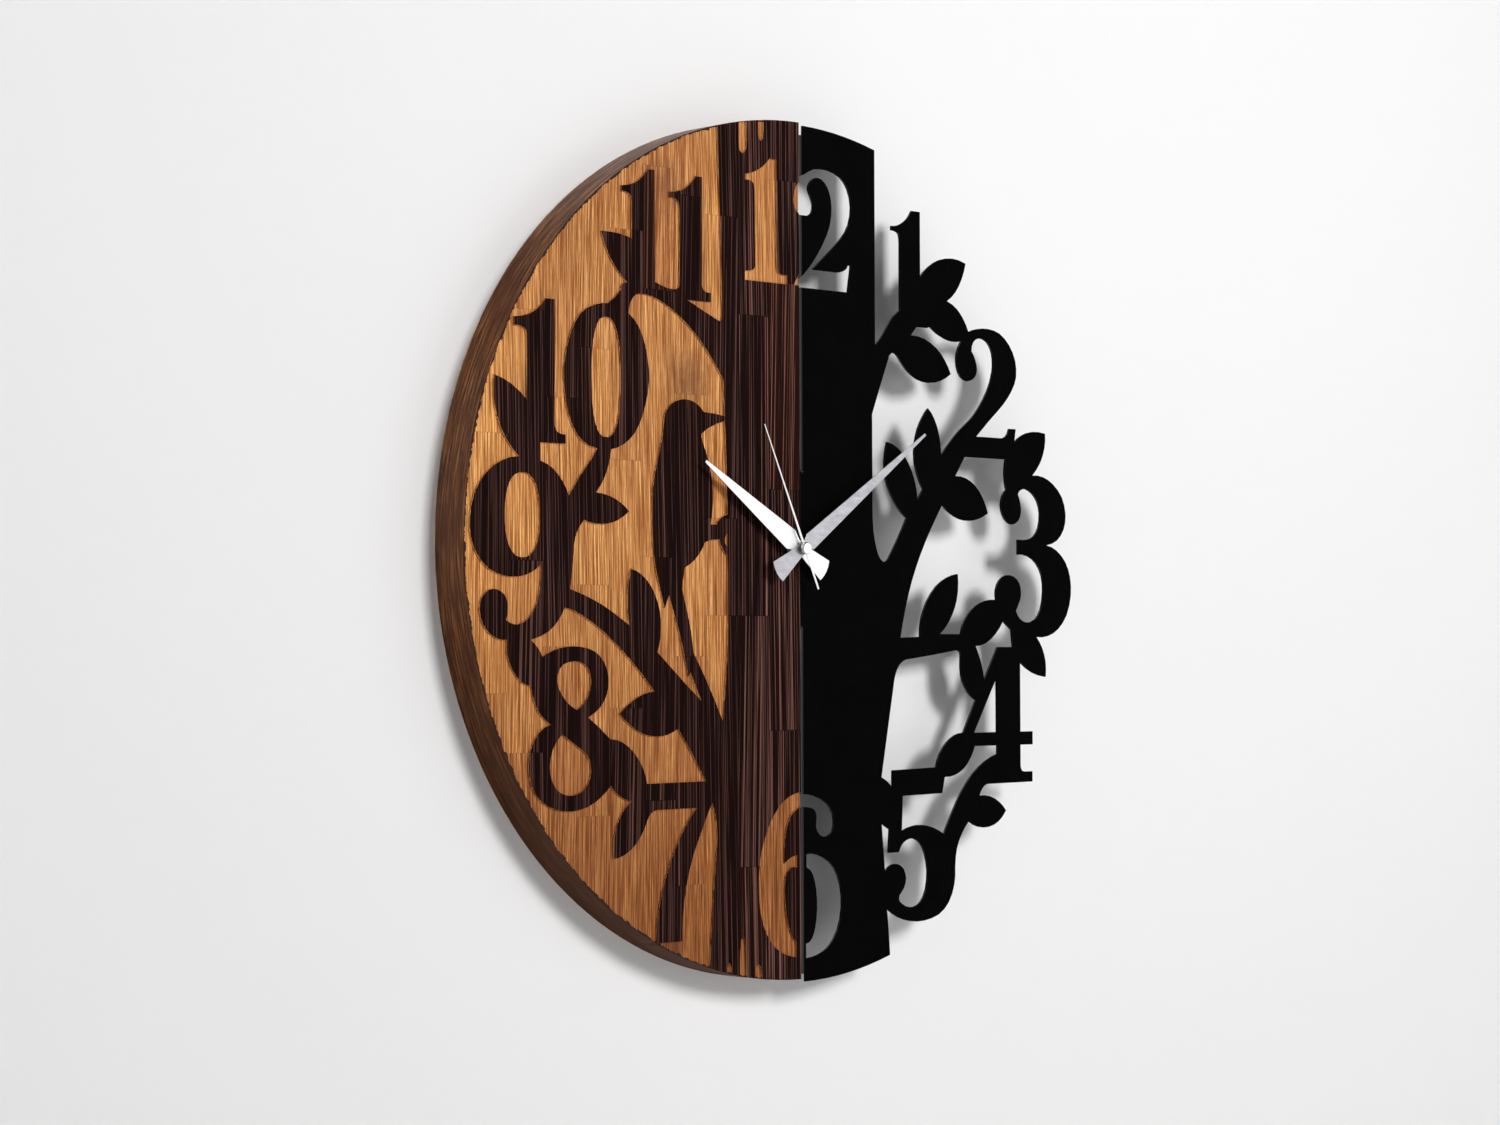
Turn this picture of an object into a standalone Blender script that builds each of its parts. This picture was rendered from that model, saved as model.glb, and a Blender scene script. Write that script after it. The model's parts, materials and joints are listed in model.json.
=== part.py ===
"""Half wood, half metal wall clock with a quartz movement.

Millimetres are used while shapes are drawn and are turned into metres when a
mesh is made.  X points right and Z up as the dial is read, the front faces -Y
and the wall is the plane y = 0.  The axis of the hands passes through x = 0,
z = 0.  Outlines of the dial are drawn about the centre of the dial's circle,
which lies DIAL_X to the right of the hands' axis.
"""
import math

import bmesh
import bpy
import numpy as np
from mathutils import Matrix, Vector
from mathutils.geometry import delaunay_2d_cdt

MM = 0.001

# Dial and wooden board
DIAL_RADIUS = 280.0
DIAL_X = 7.7              # circle centre, right of the hands' axis
METAL_DROP = 1.8          # the sheet sits this much lower than the board
BOARD = 29.0              # board thickness, also the overall depth of the dial
FRONT = -BOARD
RECESS = 1.2              # depth of the carved background
WOOD_EDGE = -1.5          # straight edge of the board, from the circle centre
GAP = 0.3

# Folded steel sheet
SHEET = 1.5
BEND_INNER = 1.5
BEND_OUTER = BEND_INNER + SHEET
BEND_START = WOOD_EDGE + GAP + BEND_OUTER
BEND_LENGTH = math.pi / 2 * (BEND_INNER + SHEET / 2)
FLANGE_REACH = 17.0
FLANGE_END = BEND_START - BEND_LENGTH - FLANGE_REACH
FLANGE_GAP = 50.0         # no flange this far above and below the hands' axis
FLANGE_TIP = 275.0
RELIEF = 1.5

# Movement, centred on the hands' axis
CASE_HALF = 28.0
CASE_WALL = 1.2
CASE_FRONT = -17.3
CASE_BACK = 0.0
COVER = 1.2
POCKET_FLOOR = -18.8
PARTITION_Z = -11.9

FLATNESS = 0.20           # chord error allowed on curves


# ----------------------------------------------------------------- 2-D shapes

def catmull(p0, p1, p2, p3, t):
    """Point on the smooth curve between p1 and p2."""
    a = 2 * p1
    b = p2 - p0
    c = 2 * p0 - 5 * p1 + 4 * p2 - p3
    d = 3 * p1 - p0 - 3 * p2 + p3
    return 0.5 * (a + b * t + c * t * t + d * t ** 3)


def span_points(p0, p1, p2, p3, flatness):
    """Points after p1 up to p2, as few as the flatness allows."""
    bend = np.linalg.norm(p0 - 2 * p1 + p2) + np.linalg.norm(p1 - 2 * p2 + p3)
    steps = max(1, math.ceil(math.sqrt(bend / (16 * flatness))))
    return [catmull(p0, p1, p2, p3, k / steps) for k in range(1, steps + 1)]


def smooth_run(points, flatness=FLATNESS):
    """Smooth curve through the points, ends left free; the first is dropped."""
    pts = [np.array(p, float) for p in points]
    if len(pts) == 2:
        return [pts[1]]
    first = 3 * pts[0] - 3 * pts[1] + pts[2]
    last = 3 * pts[-1] - 3 * pts[-2] + pts[-3]
    pts = [first] + pts + [last]
    out = []
    for k in range(1, len(pts) - 2):
        out += span_points(pts[k - 1], pts[k], pts[k + 1], pts[k + 2], flatness)
    return out


def outline(start, *runs):
    """Closed outline: each run is smooth and meets the next in a corner."""
    out = [np.array(start, float)]
    for run in runs:
        out += smooth_run([tuple(out[-1])] + list(run))
    if np.linalg.norm(out[0] - out[-1]) < 0.05:
        out.pop()
    return out


def arc(radius, start_deg, end_deg, cx=0.0, cz=0.0, flatness=0.05):
    """Points on an arc, both ends included; 0 degrees is +X, positive turns to +Z."""
    turn = math.radians(end_deg - start_deg)
    step = 2 * math.acos(max(0.0, 1 - flatness / radius))
    steps = max(2, math.ceil(abs(turn) / step))
    first = math.radians(start_deg)
    angles = [first + turn * k / steps for k in range(steps + 1)]
    return [np.array((cx + radius * math.cos(a), cz + radius * math.sin(a))) for a in angles]


def ring(radius, cx=0.0, cz=0.0, steps=32):
    """Circle as a polygon."""
    angles = [2 * math.pi * k / steps for k in range(steps)]
    return [np.array((cx + radius * math.cos(a), cz + radius * math.sin(a))) for a in angles]


def superellipse(cx, cz, rx, rz, power, steps=28):
    """Oval with fuller sides than an ellipse, as the bowl of a nought has."""
    out = []
    for k in range(steps):
        a = 2 * math.pi * (k + 0.5) / steps
        c = math.cos(a)
        s = math.sin(a)
        x = cx + rx * math.copysign(abs(c) ** (2 / power), c)
        z = cz + rz * math.copysign(abs(s) ** (2 / power), s)
        out.append(np.array((x, z)))
    return out


def rect(x0, x1, z0, z1):
    """Rectangle from its sides."""
    return [np.array(p, float) for p in ((x0, z0), (x1, z0), (x1, z1), (x0, z1))]


def round_rect(x0, x1, z0, z1, r):
    """Rectangle with rounded corners."""
    out = arc(r, 180, 270, x0 + r, z0 + r)
    out += arc(r, 270, 360, x1 - r, z0 + r)
    out += arc(r, 0, 90, x1 - r, z1 - r)
    out += arc(r, 90, 180, x0 + r, z1 - r)
    return out


def shifted(points, dx, dz=0.0):
    """Copy of an outline moved sideways."""
    return [p + np.array((dx, dz)) for p in points]


def on_rim(angle_deg, radius=DIAL_RADIUS):
    """Point of the dial's circle, 0 degrees at +X."""
    a = math.radians(angle_deg)
    return (radius * math.cos(a), radius * math.sin(a))


def rim_angle(x, z):
    """Direction of a point seen from the circle's centre, in degrees from 0 to 360."""
    return math.degrees(math.atan2(z, x)) % 360


# --------------------------------------------------------- carved background

BEYOND = DIAL_RADIUS + 5.0     # the carving runs out through the rim


def outside(start, end):
    """Points outside the rim from one direction to the other."""
    steps = max(2, math.ceil(abs(end - start) / 8))
    return [on_rim(start + (end - start) * k / steps, BEYOND) for k in range(steps + 1)]


def background_left():
    """Background round the outer sides of 11, 10, 9, 8 and 7."""
    start = (-75.2, 269.0)
    shape = outline(
        start,
        [(-74.6, 255), (-73.2, 226), (-71.6, 190), (-71, 160), (-71, 147)],
        [(-72, 144.8), (-74, 144.6), (-86, 149.4), (-101, 155.6)],
        [(-80.5, 155.6)],
        [(-80.5, 161.6)],
        [(-84, 161.9), (-87, 163.2), (-88.2, 167)],
        [(-88, 235.2)],
        [(-93.5, 235.2)],
        [(-97.5, 230.6), (-104.5, 225.6), (-116.4, 222.8)],
        [(-116.4, 219.2)],
        [(-111.6, 218.9), (-108.6, 217), (-107.8, 212.6)],
        [(-107.5, 167)],
        [(-108.6, 162.8), (-112.5, 161.6), (-119, 162.2), (-128, 165)],
        [(-128.6, 235.4)],
        [(-134, 235.4)],
        [(-138, 231), (-145, 225.8), (-156.4, 222.9)],
        [(-156.4, 219.3)],
        [(-151.6, 218.9), (-148.7, 217), (-147.9, 212.6)],
        [(-147.8, 190.6)],
        [(-158, 192.8), (-173, 193.2)],
        [(-168.6, 182), (-161.4, 171.4), (-151.6, 162.6)],
        [(-155.6, 161.4), (-157, 158)],
        [(-161, 153.6), (-167.6, 148.6)],
        [(-178, 147), (-189.6, 141), (-197.8, 128), (-202.2, 113), (-203.2, 100),
         (-201.2, 84), (-195.8, 70.4), (-187.8, 61.8), (-176.6, 58)],
        [(-181.6, 51), (-190.6, 40.4), (-199.2, 28.6)],
        [(-204, 36.8), (-211.6, 44.4), (-221.8, 48.8)],
        [(-221.8, 59.6)],
        [(-201.6, 59.6)],
        [(-201.6, 65.6)],
        [(-206, 66), (-209.4, 68), (-210.4, 73)],
        [(-210.2, 147.8)],
        [(-217.6, 147.8)],
        [(-222.6, 142.4), (-230.6, 137.4), (-242.4, 135)],
        [(-242.4, 129.6)],
        [(-236.6, 129.2), (-233.2, 127.2), (-232.4, 122)],
        [(-232.4, 85)],
        [(-243.6, 93.8), (-257.6, 99.2)],
        [(-258.4, 88), (-255.6, 74), (-249, 61.4), (-238.6, 50.6)],
        [(-252.4, 47.6), (-265, 39), (-273, 27), (-276.4, 13), (-275.6, 1),
         (-270.6, -9.6), (-261.8, -17.6), (-250.6, -21.6), (-239.6, -22),
         (-230, -19.8), (-221.6, -14.6)],
        [(-221.8, -25), (-224.6, -37), (-230.8, -46.4), (-239.6, -50.6), (-248.4, -48)],
        [(-247, -42), (-248, -35.2), (-252.4, -30.8), (-258.4, -29.4), (-264.8, -31.8),
         (-268.6, -38), (-268.2, -46.6), (-263.4, -54.6), (-256, -59.2), (-248, -60.2)],
        [(-247.8, -69), (-243.6, -78.4), (-236.8, -85.4), (-229.4, -88)],
        [(-226.8, -97.6), (-221.6, -105.6), (-213.4, -111.4)],
        [(-221.8, -115), (-228.4, -123.4), (-231.4, -136), (-228.8, -148.6),
         (-221.4, -157.8), (-210, -163), (-197, -164.6), (-184, -162.2),
         (-174, -157), (-165.6, -150)],
        [(-159, -156.2), (-149, -160)],
        [(-156.4, -166.6), (-161.4, -176), (-163.4, -185.6), (-163, -194.8)],
        [(-153.6, -192.6), (-144.6, -186.4), (-138, -177.6), (-134.4, -170.4),
         (-130.2, -166.8), (-124, -165.8)],
        [(-93.4, -165.6)],
        [(-101.4, -174), (-111.8, -190), (-120.6, -209), (-126.6, -230), (-129, -249.5)],
        [on_rim(rim_angle(-131, -257), BEYOND)],
    )
    foot = rim_angle(-131, -257)
    top = rim_angle(-75.2, 269.0)
    return shape + [np.array(p) for p in outside(foot, top)][1:]


def background_under_seven():
    """Background right of the leg of the 7, running out under its foot."""
    right = rim_angle(-83.0, -268.5)
    left = rim_angle(-130.2, -251.0)
    shape = outline(
        (-80.4, -162.8),
        [(-87.6, -177), (-96.4, -195), (-102.4, -214), (-105.4, -232), (-106.2, -249)],
        [(-128.4, -249.2)],
        [on_rim(left, BEYOND)],
    )
    shape += [np.array(p) for p in outside(left, right)][1:]
    shape += outline(
        on_rim(right, BEYOND),
        [(-82.6, -264)],
        [(-80.8, -236), (-78, -206), (-76.2, -186), (-77, -174), (-80.4, -162.8)],
    )[1:-1]
    return shape


def background_branches():
    """Background between 8, 9, the lower branch and the leaf over the 7."""
    return outline(
        (-229, -60),
        [(-215.6, -55.2), (-207.4, -48), (-202.6, -40.4)],
        [(-189, -44.8), (-170.6, -55.4), (-149.6, -72), (-129.8, -91.6)],
        [(-144.6, -95.8), (-158.4, -105.4)],
        [(-150, -112.6), (-139.6, -118.2), (-128, -120.2), (-118.2, -119.2), (-109.6, -115.6)],
        [(-97.6, -131.6), (-86, -149)],
        [(-135.6, -149.2)],
        [(-138.6, -140), (-145.4, -130.6), (-155, -123.4), (-166, -120.8)],
        [(-174.6, -113.8), (-183.6, -107.4)],
        [(-174, -101.4), (-168.4, -93), (-167.2, -83), (-170.6, -73.6), (-178.4, -66.8),
         (-189.6, -64), (-201.6, -64), (-212, -66.4), (-220.2, -70)],
        [(-223.6, -64.8), (-229, -60)],
    )


def background_middle():
    """Background between 10, 9, the upper branch, the trunk and the bird's back."""
    return outline(
        (-150.4, 143.6),
        [(-148.6, 150.6), (-144.4, 155.4), (-139, 156.2), (-132, 155.6)],
        [(-117, 150), (-100.4, 139.6), (-84.8, 125.4), (-70, 106.6)],
        [(-69.6, 96), (-68.6, 83.6)],
        [(-77.6, 84.8), (-87, 85.4)],
        [(-90.6, 88.8), (-96, 91.6), (-103.4, 92.6), (-111, 91), (-117, 87),
         (-120.6, 81), (-121.8, 71), (-125, 58), (-129, 44), (-130.8, 30),
         (-131.2, 14), (-130.6, 0), (-128.6, -13), (-124.8, -27), (-120.6, -39.6)],
        [(-117, -31.8)],
        [(-111.6, -46), (-106.8, -60), (-102.6, -76), (-100.9, -83.2)],
        [(-98.8, -80.2)],
        [(-94.4, -88.8), (-89.6, -98.2)],
        [(-102.6, -87.6), (-114, -78), (-126.8, -67.2)],
        [(-124.2, -58.6), (-123.8, -47), (-126.2, -36.4), (-131.6, -26.6),
         (-139.4, -19.2), (-148.6, -15.4)],
        [(-151.2, -26), (-151.8, -38), (-150, -51)],
        [(-164, -42.4), (-179, -35.2), (-198.2, -28.6)],
        [(-196.2, -16), (-195, -2), (-192.6, 6), (-187, 13.6)],
        [(-178, 11.6), (-168.4, 11.8), (-159, 14.4), (-150, 20)],
        [(-157.4, 25.6), (-166.6, 29.4), (-177, 31)],
        [(-171, 39), (-167, 48), (-164.8, 58)],
        [(-155, 61.2), (-145.2, 69), (-138, 82), (-134, 97), (-133.4, 109),
         (-136.4, 124.4), (-142, 136), (-150.4, 143.6)],
    )


def background_breast():
    """Background between the beak, the breast, the twig and the trunk."""
    return outline(
        (-68.6, 80.2),
        [(-75.6, 78.2), (-83, 75), (-88.8, 71)],
        [(-88, 66.6), (-84.4, 58.4), (-80.8, 47), (-79, 34), (-79.6, 22), (-81, 14)],
        [(-76.4, 14)],
        [(-72.4, 18.2), (-66.8, 20.8)],
        [(-67.4, 50), (-68.6, 80.2)],
    )


def background_tail():
    """Background between the bird's belly and tail and the trunk."""
    return outline(
        (-74, 4.4),
        [(-80, 4), (-86, 2.4)],
        [(-89.6, -3.6), (-95.6, -9.6), (-103.4, -14.2)],
        [(-104.8, -21), (-105.6, -28)],
        [(-101.6, -41), (-98.2, -54), (-96, -68)],
        [(-86.4, -83), (-78.4, -97), (-71, -111.6)],
        [(-68.4, -86), (-66.6, -60), (-66.4, -30), (-66.6, -6.2)],
        [(-71, -1.6), (-74, 4.4)],
    )


def carved_shapes():
    """Every area cut lower than the raised figures, about the circle's centre."""
    one_of_twelve = outline(
        (-50.2, 237.6),
        [(-50.2, 241)],
        [(-41.6, 243.4), (-34, 247.6), (-28.4, 253)],
        [(-22.4, 253)],
        [(-22, 184)],
        [(-21, 180), (-18.4, 178.4), (-12.6, 178)],
        [(-12.6, 172.6)],
        [(-50.2, 172.6)],
        [(-50.2, 178.4)],
        [(-44.6, 179), (-41.8, 180.8), (-41.2, 185)],
        [(-41.6, 230)],
        [(-42.4, 235.4), (-45.2, 237.4), (-50.2, 237.6)],
    )
    edge = WOOD_EDGE + 3.0
    two_ball = outline(
        (edge, 244.5),
        [(-3.4, 238.6), (-6.2, 232.4), (-6.4, 226.4), (-4, 221.6), (edge, 218.6)],
    )
    two_foot = outline((edge, 185), [(-6.6, 172.6)], [(edge, 172.6)])
    six_left = outline(
        (edge, -158.4),
        [(-11.6, -161), (-22, -168.4), (-30.8, -180.4), (-37, -196), (-39.6, -212),
         (-39, -229), (-35.6, -243), (-29.4, -253.6), (-19.6, -261.4), (-6, -265.4)],
        [(-6, -256.2)],
        [(-11.6, -248.6), (-15.4, -236), (-16.6, -222), (-15.6, -213), (-12, -207.8),
         (-5.6, -207)],
        [(-5.6, -199.6)],
        [(-11, -200.9), (-16.7, -204.4)],
        [(-16.6, -191), (-14, -179.6), (-8.6, -171.4), (edge, -167.4)],
    )
    figure_gaps = [
        superellipse(-169, 102.6, 11.8, 37.2, 2.5),
        superellipse(-235.8, 15.4, 13.6, 25.6, 2.35),
        outline(
            (-193, -102.6),
            [(-201.6, -97), (-207.4, -89), (-208, -81), (-203.6, -75), (-194.6, -73),
             (-186, -75.4), (-182, -81.6), (-182, -89), (-185.6, -96.6), (-193, -102.6)],
        ),
        outline(
            (-205, -117.6),
            [(-212, -126.6), (-214.4, -137), (-212.4, -146), (-206.4, -152.6),
             (-197, -154.8), (-188, -151.8), (-182.4, -144.8), (-182, -136.6),
             (-185, -130.4), (-193.6, -124.4), (-205, -117.6)],
        ),
    ]
    tongues = [
        outline((-55.6, 285), [(-55.6, 262)], [(-54.8, 256), (-52.2, 254.4), (-49.6, 257), (-48.6, 264)],
                [(-48.6, 285)]),
        outline((-38.2, 285), [(-38.2, 269)], [(-37.6, 265.4), (-36, 264.4), (-34.4, 266), (-33.8, 271)],
                [(-33.8, 285)]),
        outline((-56.6, -285), [(-56.2, -262)], [(-55.6, -252.6), (-53.6, -250), (-51.8, -254), (-51.2, -264)],
                [(-50.6, -285)]),
        outline((-68.4, -285), [(-67.4, -268)], [(-66, -265.4), (-64.4, -268.6)], [(-63.6, -285)]),
        outline((-44.4, -285), [(-42.6, -271)], [(-40.4, -267.6), (-38.2, -270.4)], [(-35, -285)]),
    ]
    speck = outline((-66.8, 8.6), [(-68.6, 5.6), (-68.4, 2.2), (-66.8, 0.2)])
    return [
        background_left(), background_under_seven(), background_branches(),
        background_middle(), background_breast(), background_tail(), speck,
        one_of_twelve, two_ball, two_foot, six_left,
    ] + figure_gaps + tongues


# ------------------------------------------------------------- steel outlines

def metal_outer():
    """Outer edge of the flat pattern, flange included."""
    cz = -METAL_DROP
    rim_top = [tuple(p) for p in arc(DIAL_RADIUS, 90 - math.degrees(BEND_START / DIAL_RADIUS),
                                     rim_angle(69.4, 269.4 - cz), 0, cz)]
    rim_low = [tuple(p) for p in arc(DIAL_RADIUS, rim_angle(81.6, -269.7 - cz),
                                     270 + math.degrees(BEND_START / DIAL_RADIUS), 0, cz)]
    right = outline(
        rim_top[-1],
        [(69.4, 138.2)],
        [(76, 144.6), (82.4, 153), (86.4, 158.2)],
        [(93.6, 163.6)],
        [(93.8, 209)],
        [(93, 214.6), (90.4, 216.6), (85.6, 217)],
        [(85.6, 220)],
        [(93.4, 221.4), (100.6, 225.8), (105.4, 232)],
        [(113.6, 232)],
        [(113.6, 187.4)],
        [(121.4, 194.8), (132.6, 200.8), (146, 203), (159.4, 200.6)],
        [(155.4, 189.6), (149, 180), (140.4, 173.2)],
        [(150, 168.8), (157, 161.8), (162, 153.4)],
        [(171, 156.2), (182, 157), (194, 154.6), (204, 147), (210.2, 136.6), (211, 125),
         (206.4, 115.4), (197.6, 105.4), (183.4, 93.6), (169.4, 81.6)],
        [(195.4, 81.6)],
        [(200.4, 83.4), (203.4, 88.6)],
        [(210.2, 88.6)],
        [(208.8, 79.4)],
        [(217, 84.6), (228, 87.6), (241.4, 87)],
        [(240.8, 77), (236.4, 66.6), (227.6, 56.8)],
        [(238.6, 56.2), (249.4, 51.6), (259, 42.6), (263, 30.6), (260.8, 19.6),
         (253.4, 11.6), (242, 8)],
        [(253, 4.6), (262.4, -3.4), (267.4, -14), (268.2, -27), (263.6, -41),
         (254.4, -51), (243.4, -56), (231, -56.8)],
        [(237.2, -64.6), (240.6, -74), (240.6, -84.8)],
        [(226.4, -81.6), (213.6, -74.4)],
        [(213.6, -122.8)],
        [(226.4, -122.8)],
        [(226.4, -132)],
        [(213.6, -132)],
        [(213.6, -146.6)],
        [(215, -149.8), (218.4, -150.8)],
        [(226, -150.8)],
        [(226, -158)],
        [(178.6, -158.4)],
        [(174, -161.2), (171, -166.2)],
        [(181.4, -166.8), (190.8, -170.8), (198.2, -177.2)],
        [(190.4, -184.6), (180.4, -188), (169.8, -187.6), (160, -183.4)],
        [(153, -191.4), (148, -201), (146, -214)],
        [(145, -226), (139.6, -237.4), (129.6, -245.4), (115, -248.8), (101.6, -248.4),
         (89.4, -245), (78.8, -239)],
        [(80.4, -254)],
        [rim_low[0]],
    )
    shape = [np.array(p) for p in rim_top[:-1]] + right + [np.array(p) for p in rim_low[1:]]
    inner = FLANGE_END
    side = WOOD_EDGE + GAP
    shape += [np.array(p) for p in (
        (BEND_START, -FLANGE_TIP - METAL_DROP), (inner, -FLANGE_TIP), (inner, -FLANGE_GAP - RELIEF),
        (BEND_START + 0.6, -FLANGE_GAP - RELIEF), (BEND_START + 0.6, -FLANGE_GAP), (side, -FLANGE_GAP),
        (side, FLANGE_GAP), (BEND_START + 0.6, FLANGE_GAP), (BEND_START + 0.6, FLANGE_GAP + RELIEF),
        (inner, FLANGE_GAP + RELIEF), (inner, FLANGE_TIP - 3), (BEND_START, FLANGE_TIP - 3),
    )]
    return shape


def metal_windows():
    """Openings cut through the sheet."""
    past_fold = BEND_START - BEND_LENGTH - 3.0
    figure_two = outline(
        (past_fold, 220),
        [(5.2, 219.2), (9.8, 221.4), (11.2, 226.4), (9.2, 231.6), (6.8, 236.6), (8.4, 241.6),
         (13.4, 245), (19.2, 244.6), (24.8, 240), (28.2, 231.6), (28.2, 220), (24.4, 208.4),
         (14, 192.6), (3, 180.6), (past_fold, 176)],
        [(past_fold, 171.6)],
        [(43.6, 171.6)],
        [(46.6, 189.6)],
        [(43.8, 189.6)],
        [(41.4, 186.4), (36, 184.4), (30, 184.2)],
        [(10.4, 184.2)],
        [(23.4, 195), (36.8, 206.4), (44.6, 216.8), (47, 229), (44, 240), (36.6, 247.8),
         (25, 251.2), (12.6, 250.6), (4, 246.6), (past_fold, 242.8)],
    )
    six_top = outline(
        (past_fold, -160),
        [(6, -160.4), (16.6, -163.4), (25.4, -170), (28.6, -177.6), (27.4, -184.6),
         (22, -188.4), (15.6, -187), (12.2, -181.6), (12.8, -174.4), (10.4, -170.2),
         (5, -168.6), (past_fold, -168.4)],
    )
    six_bowl = outline(
        (3.4, -199.2),
        [(13.6, -200), (24.2, -205), (32.2, -214.6), (36, -228), (34.6, -243),
         (28, -256), (17.6, -263.8), (2.8, -266.8)],
        [(2.8, -257.4)],
        [(8, -254.6), (11.4, -246.8), (13, -235), (12.2, -222), (9, -212), (3.4, -207.6)],
    )
    upper = outline(
        (104.4, 147.4),
        [(117.6, 145.8), (129.6, 140.2), (138, 132.4), (143.8, 123.2)],
        [(133.6, 118), (122, 116), (110, 117.8), (100, 123.2), (93.4, 129.6), (90, 133.2),
         (86.4, 134.2), (83.2, 132)],
        [(74.4, 111.4), (66.4, 91.8)],
        [(66.4, 32)],
        [(67.2, 14), (70.4, 1), (74, -5), (78, -7), (81.4, -4.6)],
        [(90, 8), (99.2, 23.2)],
        [(91, 29.4), (84, 38.6), (79, 49.6), (78, 61), (80.6, 73.8)],
        [(89.6, 71), (98, 64.6), (104.4, 55.6), (108.4, 46), (110, 36)],
        [(115.2, 43.2)],
        [(110.4, 52), (107.4, 62), (107.4, 73), (110.6, 84), (115.6, 92.4), (121, 98.6)],
        [(127.4, 91.4), (132, 80.6), (133.8, 67.2)],
        [(141.6, 75.4), (152, 84.8), (163.6, 93.2)],
        [(172.4, 102), (181, 114), (186.6, 127.6), (186.2, 140), (180.6, 148),
         (172.6, 149.8), (166.8, 146.6), (165, 140.4)],
        [(168.8, 134.6), (170.6, 127.4), (167.2, 121.6), (160.4, 119.4), (153.6, 122),
         (150, 128.6), (149.8, 137.6), (154.4, 146.4)],
        [(146, 145.8), (138, 147.2), (130, 150.2), (123, 154.4)],
        [(120.6, 153.4)],
        [(110.2, 153.4)],
        [(104.4, 147.4)],
    )
    middle = outline(
        (157.6, 67),
        [(199.4, 67)],
        [(198.2, 58), (198.8, 50.4), (200, 46)],
        [(196, 41.6), (194.4, 35), (196.2, 28), (201, 23), (207, 21.8), (212.8, 24.8),
         (215.4, 30.8), (214.6, 37.4), (212.2, 43)],
        [(215, 46), (220.4, 47), (227.4, 44), (233, 38), (235.4, 30), (233.8, 20.6),
         (228.4, 13.8), (221.6, 11.6), (211.6, 11.4)],
        [(211.6, 0.8)],
        [(222.4, 0), (231.4, -5.2), (237.2, -14), (238.4, -25), (235.8, -37),
         (229.4, -44.6), (221, -46.6), (213.8, -44), (209.6, -38.4)],
        [(212.4, -33.8), (215, -27.6), (213.6, -19.6), (207.6, -14.6), (199.4, -13.8),
         (192.4, -17.4), (188.8, -24), (189, -31)],
        [(178.4, -31.8), (168, -35.6), (160, -41.6), (155, -48.6), (152.8, -55)],
        [(131.8, -55)],
        [(140.6, -47), (147, -36.6), (150, -25.6), (150, -13.8)],
        [(139.4, -16.4), (128.6, -22.4), (119.2, -32.6), (113.4, -44.6), (112, -57)],
        [(93, -57.6)],
        [(97.6, -39), (104.2, -19.6), (113, -1), (123, 16), (134.4, 33)],
        [(142.4, 27.6), (152, 24), (162, 23), (172, 24.8), (181, 28.8)],
        [(175.6, 39.6), (168, 47.6), (158.4, 52.4), (148, 53.4)],
        [(157.6, 67)],
    )
    lower = outline(
        (98.4, -72.4),
        [(122, -69.6), (148.6, -66)],
        [(151.8, -67.6), (152.4, -71.6)],
        [(152.8, -83), (156.4, -91.6), (161.4, -97), (167.4, -100.4)],
        [(154.8, -122.6)],
        [(145.6, -124.4), (137.4, -129.4), (130.8, -136.8), (127.4, -145.6)],
        [(84.6, -146.6)],
        [(84.6, -158.8)],
        [(80.4, -154.4), (74, -151)],
        [(80.4, -118), (86.8, -86)],
        [(89.6, -78.8), (93.4, -74.6), (98.4, -72.4)],
    )
    apex = outline(
        (196, -46),
        [(204.6, -52)],
        [(206, -63.8)],
        [(190, -63.8)],
        [(176.4, -86.4)],
        [(173.4, -75), (167.8, -63.2)],
        [(178.2, -61.2), (188, -55), (196, -46)],
    )
    four = outline((189.2, -84.6), [(189.2, -122.8)], [(165.6, -122.8)])
    under_four = outline(
        (166.4, -132),
        [(189.4, -132)],
        [(189.4, -138)],
        [(177, -142.6), (164, -151), (152, -163.6), (142.4, -178), (134.8, -191)],
        [(125, -186.6), (114, -184.2), (103.6, -184.6), (93.4, -187.6)],
        [(94.6, -164)],
        [(133.4, -163.4)],
        [(136, -152.4)],
        [(146, -151.4), (155.4, -147), (162, -140), (166.4, -132)],
    )
    five = outline(
        (74, -181.8),
        [(81.6, -186)],
        [(80.4, -201.6)],
        [(90.6, -201.6)],
        [(93.4, -196.8), (98, -193.8), (104.4, -193), (111, -196.4), (116, -204.4),
         (118.4, -215.4), (116.8, -227.6), (111.4, -236), (104.4, -239), (97, -238), (91, -234.4)],
        [(91, -230.4), (95.2, -226), (97.4, -219.4), (95, -212.8), (89, -209.4),
         (82.4, -210), (77, -213.6)],
    )
    return [figure_two, six_top, six_bowl, upper, middle, lower, apex, four, under_four, five]


# ------------------------------------------------------------------ mesh tools

# base colour, roughness and metallic value of each material
FINISHES = {
    "stained_pine": ((0.16, 0.07, 0.035), 0.55, 0.0),
    "black_steel": ((0.012, 0.012, 0.013), 0.62, 0.0),
    "zinc_steel": ((0.62, 0.63, 0.64), 0.32, 1.0),
    "black_plastic": ((0.03, 0.03, 0.032), 0.45, 0.0),
    "white_plastic": ((0.82, 0.82, 0.80), 0.40, 0.0),
    "amber_plastic": ((0.70, 0.42, 0.12), 0.35, 0.0),
    "brass": ((0.75, 0.58, 0.26), 0.28, 1.0),
    "rubber": ((0.02, 0.02, 0.02), 0.85, 0.0),
    "aluminium": ((0.80, 0.81, 0.82), 0.38, 1.0),
    "copper": ((0.72, 0.34, 0.16), 0.30, 1.0),
    "circuit_board": ((0.05, 0.22, 0.10), 0.50, 0.0),
    "battery": ((0.35, 0.36, 0.38), 0.35, 0.6),
}
SMOOTH_BELOW = math.radians(32)


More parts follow.
